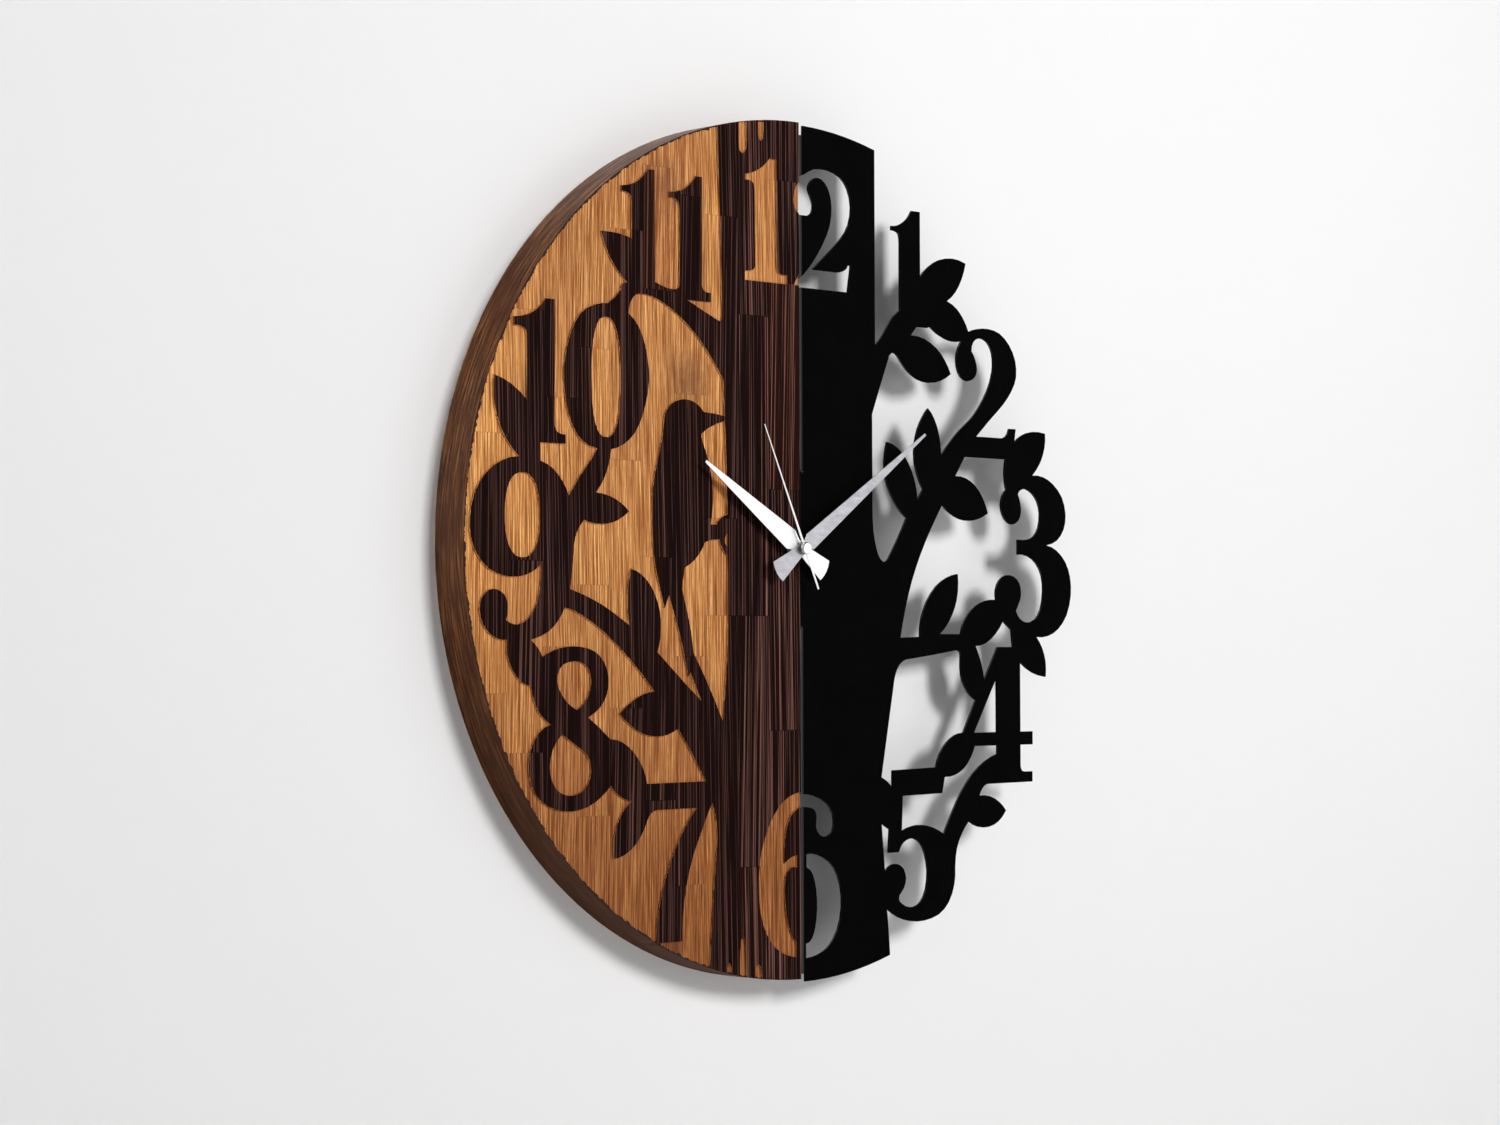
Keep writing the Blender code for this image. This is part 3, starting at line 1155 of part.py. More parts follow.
def fixed_inside():
    """Plates, coil and electronics inside the movement."""
    arbors = [(1.9, 0, 0), (1.1, MINUTE_X, MINUTE_Z), (0.6, THIRD_X, THIRD_Z)]
    middle = [ring(r, x, z, 14) for r, x, z in arbors]
    plate("middle_plate", round_rect(-17.5, 17.5, -10.6, 16.5, 2.0), middle, -13.1, -12.3, "white_plastic")
    pivots = [(0.6, 0, 0), (1.1, MINUTE_X, MINUTE_Z), (0.6, THIRD_X, THIRD_Z), (0.6, STEP_X, STEP_Z),
              (0.6, ROTOR_X, ROTOR_Z)]
    bridge = plate("train_bridge", round_rect(-16.3, 17.5, -10.6, 16.5, 1.0),
                   [ring(r, x, z, 12) for r, x, z in pivots], -5.2, -4.5, "white_plastic")
    posts = [lathe_bmesh(rod(1.1, -12.0, -4.9), centre=(x, 0, z), steps=10)
             for x, z in ((15.2, -8.6), (14.6, 14.4), (2.0, -9.4))]
    combine(bridge, "UNION", [merged(posts)])
    tidy(bridge, 0.00001)
    window = ring(3.2, ROTOR_X, ROTOR_Z, 28)
    left, right = COIL_X - 2.4, -9.9
    stator = outline(
        (left, -10.4), [(right, -10.4)], [(right, 23.6)], [(left, 23.6)], [(left, 20.4)],
        [(-13.6, 20.4)], [(-13.6, 1.0)], [(left, 1.0)],
    )
    plate("stator", stator, [window], -10.4, -9.6, "zinc_steel")
    core = box_bmesh(COIL_X - 1.3, COIL_X + 1.3, COIL_Y - 0.5, COIL_Y + 0.5, -2.0, 23.6)
    add_object("coil_core", core, "zinc_steel")
    spool = [(1.7, 2.4), (5.2, 2.4), (5.2, 3.2), (2.3, 3.2), (2.3, 18.4), (5.2, 18.4), (5.2, 19.2),
             (1.7, 19.2)]
    add_object("coil_bobbin", lathe_bmesh(spool, axis="Z", centre=(COIL_X, COIL_Y, 0), steps=24),
               "amber_plastic")
    wound = [(2.45, 3.5), (4.6, 3.5), (4.6, 18.1), (2.45, 18.1)]
    add_object("coil_winding", lathe_bmesh(wound, axis="Z", centre=(COIL_X, COIL_Y, 0), steps=24), "copper")
    plate("circuit_board", rect(1.0, 25.6, 17.4, 26.0), [], -4.2, -3.4, "circuit_board")
    dome = [(0, -6.0), (0.9, -5.9), (1.9, -5.5), (2.5, -4.9), (2.7, -4.5), (0, -4.5)]
    add_object("ic_blob", lathe_bmesh(dome, centre=(7.0, 0, 21.6), steps=24), "black_plastic")
    can = [(0, 13.0), (1.0, 13.0), (1.0, 18.6), (0.8, 19.0), (0, 19.0)]
    add_object("quartz_crystal", lathe_bmesh(can, axis="X", centre=(0, -5.6, 21.6), steps=20), "aluminium")


# ----------------------------------------------------------------- hands

HOUR_Y = FRONT - 6.8
MINUTE_Y = FRONT - 8.9
SECOND_Y = FRONT - 10.9
HOUR_DEG = -57.5
MINUTE_DEG = 55.6
SECOND_DEG = -24.6


def blade(name, y, thickness, bore, rotation, outline_up):
    """Stamped hand drawn pointing up, turned clockwise by its reading."""
    a = math.radians(rotation)
    turned = [np.array((p[0] * math.cos(a) + p[1] * math.sin(a), -p[0] * math.sin(a) + p[1] * math.cos(a)))
              for p in outline_up]
    return plate(name, turned, [ring(bore, steps=28)], y - thickness / 2, y + thickness / 2, "aluminium")


def tapered(length, wide, shoulder, tip, tail, tail_width, waist):
    """Long blade widest near the hub with a flared tail."""
    return outline(
        (-tip, length),
        [(tip, length)],
        [(wide, shoulder)],
        [(waist, 4.6)],
        [(waist, -4.0)],
        [(tail_width, -tail)],
        [(0, -tail - 1.6), (-tail_width, -tail)],
        [(-waist, -4.0)],
        [(-waist, 4.6)],
        [(-wide, shoulder)],
    )


def hands():
    """Three hands and the collets that hold them to their tubes."""
    blade("hour_hand", HOUR_Y, 0.5, 2.75, HOUR_DEG, tapered(99.5, 7.2, 10.5, 0.9, 26.0, 7.6, 4.2))
    blade("minute_hand", MINUTE_Y, 0.5, 1.8, MINUTE_DEG, tapered(141.0, 5.9, 8.0, 0.9, 27.5, 7.6, 3.9))
    needle = outline((-0.35, 87), [(0.35, 87)], [(0.85, 3)], [(1.9, 1.2)], [(1.9, -1.2)], [(0.9, -3)],
                     [(0.75, -29)], [(-0.75, -29)], [(-0.9, -3)], [(-1.9, -1.2)], [(-1.9, 1.2)],
                     [(-0.85, 3)])
    blade("second_hand", SECOND_Y, 0.35, 0.85, SECOND_DEG, needle)
    hour_collet = [(2.5, HOUR_Y + 1.5), (3.4, HOUR_Y + 1.5), (3.4, HOUR_Y + 0.3), (2.5, HOUR_Y + 0.3)]
    add_object("hour_hand_collet", lathe_bmesh(hour_collet, steps=24), "aluminium")
    minute_collet = [(1.55, MINUTE_Y + 1.15), (2.6, MINUTE_Y + 1.15), (2.6, MINUTE_Y + 0.3),
                     (1.55, MINUTE_Y + 0.3)]
    add_object("minute_hand_collet", lathe_bmesh(minute_collet, steps=24), "aluminium")
    cap = [(0, SECOND_Y - 2.5), (3.4, SECOND_Y - 2.4), (4.0, SECOND_Y - 1.9), (4.0, SECOND_Y - 0.25),
           (0.68, SECOND_Y - 0.25), (0.68, SECOND_Y - 1.75), (0, SECOND_Y - 1.75)]
    add_object("second_hand_cap", lathe_bmesh(cap, steps=24), "aluminium")


def main():
    """Build every piece of the clock."""
    for obj in list(bpy.data.objects):
        bpy.data.objects.remove(obj)
    wood_half_disc()
    metal_half_panel()
    flange_screws()
    hanger()
    case_front()
    bushing()
    front_hardware()
    case_back()
    battery()
    gear_train()
    fixed_inside()
    hands()
    shade_round()


main()
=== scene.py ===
"""Looks of a wall clock that is half carved pine and half cut black steel."""
import json
import math
from itertools import combinations

import bmesh
import bpy
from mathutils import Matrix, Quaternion, Vector


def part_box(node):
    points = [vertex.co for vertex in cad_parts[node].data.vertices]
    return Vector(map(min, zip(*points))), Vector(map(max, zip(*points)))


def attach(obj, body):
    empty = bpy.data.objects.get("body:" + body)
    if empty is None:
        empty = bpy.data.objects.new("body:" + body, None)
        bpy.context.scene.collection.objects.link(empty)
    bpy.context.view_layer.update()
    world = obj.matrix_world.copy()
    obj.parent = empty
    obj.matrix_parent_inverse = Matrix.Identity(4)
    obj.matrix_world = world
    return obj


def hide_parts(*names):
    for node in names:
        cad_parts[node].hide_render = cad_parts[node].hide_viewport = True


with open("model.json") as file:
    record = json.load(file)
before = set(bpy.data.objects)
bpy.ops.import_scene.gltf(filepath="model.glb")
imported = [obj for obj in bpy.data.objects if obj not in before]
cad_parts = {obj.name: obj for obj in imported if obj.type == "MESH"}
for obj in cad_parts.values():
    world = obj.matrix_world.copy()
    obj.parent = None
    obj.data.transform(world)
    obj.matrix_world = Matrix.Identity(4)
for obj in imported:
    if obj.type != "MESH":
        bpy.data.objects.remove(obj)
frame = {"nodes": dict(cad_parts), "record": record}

MM = 0.001
NODES = frame["nodes"]
BODY_OF = {node: body for body, members in frame["record"]["behaviour"]["bodies"].items()
           for node in members}
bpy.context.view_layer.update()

# The board gives the dial's circle, the front face and the wall plane.
board_low, board_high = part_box("wood_half_disc")
FRONT = board_low.y
DIAL_RADIUS = (board_high.z - board_low.z) / 2
DIAL_X = board_low.x + DIAL_RADIUS
STRAIGHT_EDGE = board_high.x
CARVED_DEPTH = 1.2 * MM


# ------------------------------------------------------------ material nodes

# Sockets of a colour mix node: its factor and two colours, and its result.
MIX_INPUTS = (0, 6, 7)
MIX_OUTPUT = 2


def opaque(value):
    """A plain colour with its alpha; anything else as it is."""
    if isinstance(value, tuple) and len(value) == 3:
        return (*value, 1.0)
    return value


class Shade:
    """A material being wired up around one Principled shader."""

    def __init__(self, name):
        self.material = bpy.data.materials.new(name)
        self.material.use_nodes = True
        self.tree = self.material.node_tree
        self.shader = self.tree.nodes["Principled BSDF"]
        self.place = self.add("ShaderNodeTexCoord").outputs["Object"]

    def add(self, kind, **settings):
        """New node with its settings."""
        node = self.tree.nodes.new(kind)
        for key, value in settings.items():
            setattr(node, key, value)
        return node

    def link(self, source, socket):
        """Feed a socket from an output or from a plain value."""
        if isinstance(source, bpy.types.NodeSocket):
            self.tree.links.new(source, socket)
        elif source is not None:
            socket.default_value = source

    def math(self, operation, a, b=None, c=None):
        """One arithmetic step on numbers."""
        node = self.add("ShaderNodeMath", operation=operation)
        for value, socket in zip((a, b, c), node.inputs):
            self.link(value, socket)
        return node.outputs[0]

    def scaled(self, vector, x, y, z):
        """Vector stretched by a factor along each axis."""
        node = self.add("ShaderNodeVectorMath", operation="MULTIPLY")
        self.link(vector, node.inputs[0])
        node.inputs[1].default_value = (x, y, z)
        return node.outputs[0]

    def parts(self, vector):
        """The X, Y and Z of a vector."""
        node = self.add("ShaderNodeSeparateXYZ")
        self.link(vector, node.inputs[0])
        return tuple(node.outputs)

    def noise(self, vector, scale=1.0, detail=2.0, roughness=0.5, distortion=0.0):
        """Soft noise, about 0.5 on average."""
        node = self.add("ShaderNodeTexNoise")
        self.link(vector, node.inputs["Vector"])
        node.inputs["Scale"].default_value = scale
        node.inputs["Detail"].default_value = detail
        node.inputs["Roughness"].default_value = roughness
        node.inputs["Distortion"].default_value = distortion
        return node.outputs["Fac"]

    def ramp(self, value, *stops):
        """Colour ramp through (position, colour) stops."""
        node = self.add("ShaderNodeValToRGB")
        elements = node.color_ramp.elements
        while len(elements) < len(stops):
            elements.new(0.5)
        for element, (position, colour) in zip(elements, stops):
            element.position = position
            element.color = opaque(colour)
        self.link(value, node.inputs["Fac"])
        return node.outputs["Color"]

    def between(self, value, low, high, to_low=0.0, to_high=1.0):
        """Value mapped from one span to another and clamped."""
        node = self.add("ShaderNodeMapRange")
        for source, socket in zip((value, low, high, to_low, to_high), node.inputs):
            self.link(source, socket)
        return node.outputs[0]

    def mix(self, factor, a, b, blend="MIX"):
        """Blend of two colours."""
        node = self.add("ShaderNodeMix", data_type="RGBA", blend_type=blend)
        for source, socket in zip((factor, a, b), MIX_INPUTS):
            self.link(opaque(source), node.inputs[socket])
        return node.outputs[MIX_OUTPUT]

    def attribute(self, name, output="Fac"):
        """Value that the mesh carries under a name."""
        node = self.add("ShaderNodeAttribute", attribute_name=name)
        return node.outputs[output]

    def bump(self, height, distance, strength):
        """Surface relief from a height in 0..1."""
        node = self.add("ShaderNodeBump")
        node.inputs["Distance"].default_value = distance
        node.inputs["Strength"].default_value = strength
        self.link(height, node.inputs["Height"])
        return node.outputs["Normal"]

    def finish(self, **sockets):
        """Set the shader's sockets by name, underscores for spaces."""
        for name, source in sockets.items():
            self.link(opaque(source), self.shader.inputs[name.replace("_", " ")])
        return self.material


# ------------------------------------------------------------------- wood

# A glued seam is dark up to the first distance and gone at the second.
SEAM_DARK = 0.08 * MM
SEAM_CLEAR = 0.30 * MM

# Least and greatest depth of the splinters at the rim.
CHIP_LEAST = 0.5 * MM
CHIP_MOST = 2.4 * MM

# Stain of the rim that ran over onto the back: where it ends and where it is full.
SPILL_END = 5 * MM
SPILL_FULL = 1 * MM

# Darker clouds on the carving: place in mm, reach in mm and strength of each cloud.
SCORCHED = [(-92, 104, 26, 0.60), (-112, 226, 26, 0.50), (-104, -254, 14, 0.70), (-44, 246, 10, 0.80)]


def wood_lines(s, across, along, seed_shift):
    """Long straight growth lines that run down each stave."""
    grain = s.attribute("grain", "Vector")
    moved = s.add("ShaderNodeVectorMath", operation="ADD")
    s.link(grain, moved.inputs[0])
    moved.inputs[1].default_value = (seed_shift, 0.0, seed_shift)
    return s.noise(s.scaled(moved.outputs[0], 1 / across, 1 / across, 1 / along),
                   detail=2.0, roughness=0.55, distortion=0.12)


def seam_shadow(s):
    """1 on the hairline between two staves or two lengths of a stave."""
    node = s.add("ShaderNodeAttribute", attribute_name="seam")
    split = s.add("ShaderNodeSeparateColor")
    s.link(node.outputs["Color"], split.inputs[0])
    nearest = s.math("MINIMUM", split.outputs[0], split.outputs[1])
    ends = s.math("MINIMUM", split.outputs[2], node.outputs["Alpha"])
    nearest = s.math("MINIMUM", nearest, ends)
    return s.between(nearest, SEAM_DARK, SEAM_CLEAR, 1.0, 0.0)


def dark_pine():
    """Raised figures: dark stain with pale streaks on the hard lines of brushed grain, partly stain
    worn off and partly a painted highlight on the ridges.
    """
    s = Shade("dark_stained_pine")
    tint = s.attribute("tint")
    rub_and_sheen_weight = s.attribute("rubbed_and_sheen")
    lines = wood_lines(s, 0.80 * MM, 300 * MM, 0.0)
    fine = wood_lines(s, 0.50 * MM, 45 * MM, 0.31)
    broad = wood_lines(s, 6 * MM, 300 * MM, 0.77)
    hard = s.between(lines, 0.560, 0.595)
    patchy = s.between(broad, 0.40, 0.58, 0.50, 1.0)
    rubbed_and_sheen = s.math("MULTIPLY", s.math("MULTIPLY", hard, patchy),
                    s.between(fine, 0.30, 0.55, 0.45, 1.0))
    rubbed_and_sheen = s.math("MULTIPLY", rubbed_and_sheen, rub_and_sheen_weight)
    redder = s.between(tint, 0.3, 1.3)
    stain = s.mix(redder, (0.0055, 0.0010, 0.0007), (0.020, 0.0045, 0.0024))
    # Streak colour: bare wood where the stain is worn off, and a painted highlight where light would
    # catch the brushed ridges.
    bare = s.mix(redder, (0.250, 0.115, 0.092), (0.330, 0.132, 0.075))
    colour = s.mix(rubbed_and_sheen, stain, bare)
    colour = s.mix(s.between(fine, 0.50, 0.66, 0.0, 0.30), colour, (0.036, 0.0085, 0.0050))
    colour = s.mix(s.math("MULTIPLY", seam_shadow(s), 0.8), colour, (0.003, 0.001, 0.001))
    height = s.math("ADD", s.math("MULTIPLY", lines, 0.7), s.math("MULTIPLY", fine, 0.3))
    return s.finish(Base_Color=colour, Roughness=s.between(rubbed_and_sheen, 0.0, 1.0, 0.58, 0.70),
                    Specular_IOR_Level=0.03, Normal=s.bump(height, 0.45 * MM, 0.8))


def carved_pine():
    """Routed background: warm oiled pine with fine upright fibres."""
    s = Shade("carved_pine")
    tint = s.attribute("tint")
    fibres = wood_lines(s, 0.42 * MM, 40 * MM, 0.0)
    strands = wood_lines(s, 0.75 * MM, 200 * MM, 0.53)
    flecks = wood_lines(s, 0.45 * MM, 5 * MM, 0.87)
    bands = wood_lines(s, 5 * MM, 400 * MM, 0.19)
    clouds = s.noise(s.scaled(s.attribute("grain", "Vector"), 26, 26, 8), detail=2)
    colour = s.ramp(fibres, (0.40, (0.150, 0.038, 0.005)), (0.47, (0.400, 0.140, 0.030)),
                    (0.54, (0.550, 0.220, 0.060)), (0.61, (0.950, 0.500, 0.190)))
    colour = s.mix(s.between(flecks, 0.48, 0.64, 0.0, 0.35), colour, (0.260, 0.080, 0.016))
    colour = s.mix(s.between(strands, 0.57, 0.66, 0.0, 0.65), colour, (0.930, 0.510, 0.185))
    colour = s.mix(s.between(strands, 0.43, 0.34, 0.0, 0.65), colour, (0.210, 0.062, 0.013))
    colour = s.mix(s.between(bands, 0.52, 0.66, 0.0, 0.22), colour, (0.260, 0.085, 0.018))
    colour = s.mix(s.between(clouds, 0.45, 0.66, 0.0, 0.30), colour, (0.330, 0.112, 0.030))
    _, _, z = s.parts(s.place)
    # Darker and redder towards the bottom of the board.
    foot = s.mix(s.between(z, 0.0, -0.22), (1.0, 1.0, 1.0), (0.62, 0.52, 0.46))
    colour = s.mix(1.0, colour, foot, "MULTIPLY")
    red = s.mix(1.0, colour, (0.80, 0.66, 0.66), "MULTIPLY")
    colour = s.mix(s.between(tint, -0.2, 1.0, 0.0, 0.6), colour, red)
    pale = s.mix(1.0, colour, (1.30, 1.34, 1.24), "MULTIPLY")
    colour = s.mix(s.between(tint, -1.0, 0.0, 0.8, 0.0), colour, pale)
    colour = s.mix(s.math("MULTIPLY", seam_shadow(s), 0.30), colour, (0.110, 0.036, 0.010))
    for at_x, at_z, reach, strength in SCORCHED:
        spot = scorch(s, at_x * MM, at_z * MM, reach * MM)
        colour = s.mix(s.math("MULTIPLY", spot, strength), colour, (0.105, 0.030, 0.014))
    colour = s.mix(rim_chips(s), colour, (0.022, 0.010, 0.007))
    return s.finish(Base_Color=colour, Roughness=s.between(fibres, 0.3, 0.7, 0.52, 0.66),
                    Specular_IOR_Level=0.12, Normal=s.bump(fibres, 0.25 * MM, 0.6))


def scorch(s, x, z, reach):
    """Ragged cloud round a place on the front, 1 in its middle."""
    node = s.add("ShaderNodeVectorMath", operation="DISTANCE")
    s.link(s.scaled(s.place, 1, 0, 1), node.inputs[0])
    node.inputs[1].default_value = (x, 0.0, z)
    ragged = s.noise(s.place, scale=110, detail=3.0, roughness=0.6)
    away = s.math("MULTIPLY_ADD", ragged, reach, node.outputs["Value"])
    return s.between(away, 1.45 * reach, 0.55 * reach)


def radius_from_dial(s):
    """Distance from the centre of the dial's circle."""
    x, _, z = s.parts(s.place)
    x = s.math("SUBTRACT", x, DIAL_X)
    square = s.math("ADD", s.math("MULTIPLY", x, x), s.math("MULTIPLY", z, z))
    return s.math("SQRT", square)


def rim_chips(s):
    """Splintered dark edge where the carving runs out at the rim."""
    reach = s.noise(s.place, scale=190, detail=4.0, roughness=0.7)
    limit = s.math("SUBTRACT", DIAL_RADIUS, s.between(reach, 0.40, 0.72, CHIP_LEAST, CHIP_MOST))
    beyond = s.math("SUBTRACT", radius_from_dial(s), limit)
    return s.between(beyond, -0.1 * MM, 0.1 * MM)


def rim_pine():
    """Side of the board: brown stain brushed round the curve."""
    s = Shade("rim_pine")
    tint = s.attribute("tint")
    x, y, z = s.parts(s.place)
    angle = s.math("ARCTAN2", z, s.math("SUBTRACT", DIAL_X, x))
    around = s.math("MULTIPLY", angle, DIAL_RADIUS)
    track = s.add("ShaderNodeCombineXYZ")
    s.link(around, track.inputs[0])
    s.link(y, track.inputs[1])
    streaks = s.noise(s.scaled(track.outputs[0], 26, 700, 1), detail=3.0, roughness=0.6,
                      distortion=0.25)
    smears = s.noise(s.scaled(track.outputs[0], 34, 110, 1), detail=3.0, roughness=0.55)
    patches = s.noise(s.scaled(track.outputs[0], 9, 26, 1), detail=2.0)
    fibres = wood_lines(s, 0.9 * MM, 14 * MM, 0.0)
    colour = s.ramp(streaks, (0.38, (0.034, 0.009, 0.002)), (0.50, (0.170, 0.054, 0.013)),
                    (0.60, (0.360, 0.150, 0.056)))
    colour = s.mix(s.between(smears, 0.42, 0.66, 0.0, 0.7), colour, (0.052, 0.017, 0.007))
    colour = s.mix(s.between(fibres, 0.50, 0.66, 0.0, 0.5), colour, (0.210, 0.094, 0.040))
    colour = s.mix(s.between(patches, 0.54, 0.68, 0.0, 0.5), colour, (0.095, 0.024, 0.007))
    # Darker towards the bottom of the rim.
    foot = s.between(z, 0.06, -0.16, 0.0, 0.80)
    colour = s.mix(foot, colour, (0.030, 0.008, 0.003))
    greyed = s.mix(s.between(tint, -1.0, 1.0, 0.0, 0.20), colour, (0.120, 0.066, 0.040))
    return s.finish(Base_Color=greyed, Roughness=s.between(streaks, 0.3, 0.7, 0.50, 0.64),
                    Specular_IOR_Level=0.05, Normal=s.bump(streaks, 0.3 * MM, 0.8))


def raw_pine():
    """Back and pockets: sanded bare pine."""
    s = Shade("bare_pine")
    tint = s.attribute("tint")
    fibres = wood_lines(s, 0.9 * MM, 60 * MM, 0.0)
    bands = wood_lines(s, 3.6 * MM, 420 * MM, 0.23)
    colour = s.ramp(fibres, (0.32, (0.520, 0.330, 0.165)), (0.52, (0.640, 0.440, 0.240)),
                    (0.72, (0.720, 0.530, 0.320)))
    colour = s.mix(s.between(bands, 0.50, 0.70, 0.0, 0.7), colour, (0.430, 0.225, 0.090))
    colour = s.mix(s.between(tint, -1.0, 1.0, 0.0, 0.35), colour, (0.480, 0.290, 0.150))
    colour = s.mix(s.math("MULTIPLY", seam_shadow(s), 0.6), colour, (0.180, 0.090, 0.040))
    stained = s.between(radius_from_dial(s), DIAL_RADIUS - SPILL_END, DIAL_RADIUS - SPILL_FULL)
    smear = s.noise(s.scaled(s.place, 160, 160, 160), detail=3.0)
    stained = s.math("MULTIPLY", stained, s.between(smear, 0.40, 0.58))
    colour = s.mix(s.math("MULTIPLY", stained, 0.85), colour, (0.060, 0.028, 0.015))
    return s.finish(Base_Color=colour, Roughness=s.between(fibres, 0.3, 0.7, 0.60, 0.75),
                    Specular_IOR_Level=0.30, Normal=s.bump(fibres, 0.15 * MM, 0.5))


# ------------------------------------------------------- metals and plastics

WIRE_PITCH = 0.28 * MM
TRACK_PITCH = 1.8 * MM

# Bare steel at the foot and the top of the cell, where the coloured band of
# its film begins, and half the width over which the film's edges blur.
BARE_FOOT = 1.0 * MM
BARE_TOP = 2.5 * MM
BAND_LENGTH = 15.1 * MM
FILM_BLUR = 0.1 * MM


def powder_coat():
    """Matt black powder coating with its fine orange-peel texture.

    It carries a painted highlight on the rounded fold along the straight edge,
    where it turns from the front to the left.
    """
    s = Shade("black_powder_coat")
    peel = s.noise(s.place, scale=1500, detail=2.0, roughness=0.6)
    swell = s.noise(s.place, scale=55, detail=2.0)
    colour = s.mix(s.between(peel, 0.35, 0.65), (0.0007, 0.0007, 0.0008), (0.0016, 0.0016, 0.0017))
    rough = s.between(swell, 0.3, 0.7, 0.60, 0.72)
    leftward = s.parts(s.add("ShaderNodeNewGeometry").outputs["True Normal"])[0]
    painted_fold_highlight = s.math("MULTIPLY", s.between(leftward, -0.35, -0.60), s.between(leftward, -0.97, -0.85))
    # Painted highlight: the rounded fold is lightened where it turns from the front to the left.
    colour = s.mix(painted_fold_highlight, colour, (0.075, 0.076, 0.080))
    return s.finish(Base_Color=colour, Roughness=rough, Specular_IOR_Level=0.015,
                    Normal=s.bump(peel, 0.06 * MM, 0.5))


def brushed(name, light, dark, stroke, roughness=(0.26, 0.42), metallic=1.0):
    """Rolled sheet metal with fine scratches along one direction."""
    s = Shade(name)
    scratch = s.noise(s.scaled(s.place, *stroke), detail=3.0, roughness=0.65)
    mottle = s.noise(s.place, scale=420, detail=3.0, roughness=0.6)
    colour = s.mix(s.between(scratch, 0.35, 0.65), dark, light)
    colour = s.mix(s.between(mottle, 0.40, 0.66, 0.0, 0.45), colour, dark)
    return s.finish(Base_Color=colour, Roughness=s.between(scratch, 0.3, 0.7, *roughness),
                    Metallic=metallic, Normal=s.bump(scratch, 0.02 * MM, 0.5))


def plated(name, colour, worn):
    """Small turned or pressed metal part with tarnish in patches."""
    s = Shade(name)
    spots = s.noise(s.place, scale=650, detail=4.0, roughness=0.65)
    rings = s.noise(s.place, scale=2600, detail=1.0)
    tone = s.mix(s.between(spots, 0.42, 0.68, 0.0, 0.7), colour, worn)
    return s.finish(Base_Color=tone, Roughness=s.between(spots, 0.3, 0.7, 0.20, 0.38), Metallic=1.0,
                    Normal=s.bump(rings, 0.015 * MM, 0.4))


def moulded(name, colour, shade_colour):
    """Injection-moulded plastic with spark-eroded texture."""
    s = Shade(name)
    texture = s.noise(s.place, scale=1100, detail=3.0, roughness=0.6)
    flow = s.noise(s.place, scale=70, detail=2.0)
    tone = s.mix(s.between(flow, 0.35, 0.68, 0.0, 0.8), colour, shade_colour)
    return s.finish(Base_Color=tone, Roughness=s.between(texture, 0.3, 0.7, 0.36, 0.52),
                    Normal=s.bump(texture, 0.02 * MM, 0.5))


def wound_copper():
    """Layers of thin enamelled wire."""
    s = Shade("enamelled_copper")
    _, _, z = s.parts(s.place)
    turns = s.math("SINE", s.math("MULTIPLY", z, 2 * math.pi / WIRE_PITCH))
    uneven = s.noise(s.place, scale=500, detail=2.0)
    tone = s.mix(s.between(turns, -1.0, 1.0), (0.30, 0.085, 0.03), (0.80, 0.36, 0.16))
    tone = s.mix(s.between(uneven, 0.4, 0.7, 0.0, 0.5), tone, (0.48, 0.17, 0.06))
    return s.finish(Base_Color=tone, Roughness=s.between(uneven, 0.3, 0.7, 0.25, 0.40), Metallic=1.0,
                    Normal=s.bump(turns, 0.08 * MM, 0.7))


def solder_mask():
    """Green board with lighter copper tracks under the mask."""
    s = Shade("solder_mask")
    x, _, z = s.parts(s.place)
    wander = s.math("MULTIPLY", s.noise(s.place, scale=260, detail=1.0), 1.2 * MM)
    lanes = s.math("PINGPONG", s.math("ADD", s.math("ADD", x, z), wander), TRACK_PITCH / 2)
    track = s.between(lanes, 0.52 * MM, 0.60 * MM)
    tone = s.mix(track, (0.012, 0.085, 0.030), (0.040, 0.200, 0.060))
    weave = s.noise(s.place, scale=1800, detail=2.0)
    return s.finish(Base_Color=tone, Roughness=s.between(weave, 0.3, 0.7, 0.28, 0.42),
                    Normal=s.bump(track, 0.03 * MM, 0.6))


def cell_wrapper():
    """Printed film round the cell with bare steel at both ends."""
    s = Shade("cell_wrapper")
    low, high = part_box("battery_cell")
    x, _, _ = s.parts(s.place)

    def from_here(edge, before=0.0, after=1.0):
        """Step from one value to another at a place along the cell."""
        return s.between(x, edge - FILM_BLUR, edge + FILM_BLUR, before, after)

    film = s.math("MULTIPLY", from_here(low.x + BARE_FOOT), from_here(high.x - BARE_TOP, 1.0, 0.0))
    band = from_here(high.x - BAND_LENGTH)
    scuff = s.noise(s.place, scale=240, detail=4.0, roughness=0.65)
    printed = s.mix(band, (0.018, 0.019, 0.021), (0.55, 0.16, 0.035))
    printed = s.mix(s.between(scuff, 0.56, 0.72, 0.0, 0.25), printed, (0.30, 0.29, 0.28))
    tone = s.mix(film, (0.66, 0.66, 0.65), printed)
    metal = s.between(film, 0.0, 1.0, 1.0, 0.0)
    return s.finish(Base_Color=tone, Metallic=metal, Roughness=s.between(scuff, 0.3, 0.7, 0.22, 0.36),
                    Normal=s.bump(scuff, 0.01 * MM, 0.4))


def soft_rubber():
    """Black sealing washer, dusty and slightly open-grained."""
    s = Shade("black_rubber")
    dust = s.noise(s.place, scale=900, detail=4.0, roughness=0.7)
    tone = s.mix(s.between(dust, 0.45, 0.70), (0.014, 0.014, 0.014), (0.050, 0.048, 0.046))
    return s.finish(Base_Color=tone, Roughness=s.between(dust, 0.3, 0.7, 0.78, 0.92),
                    Normal=s.bump(dust, 0.04 * MM, 0.6))


# ------------------------------------------------------------------ meshes

WELD_DISTANCE = 0.002 * MM
SHARP = math.radians(25)
NARROW_TIP = math.radians(50)
SPLIT_ANGLE = math.radians(32)


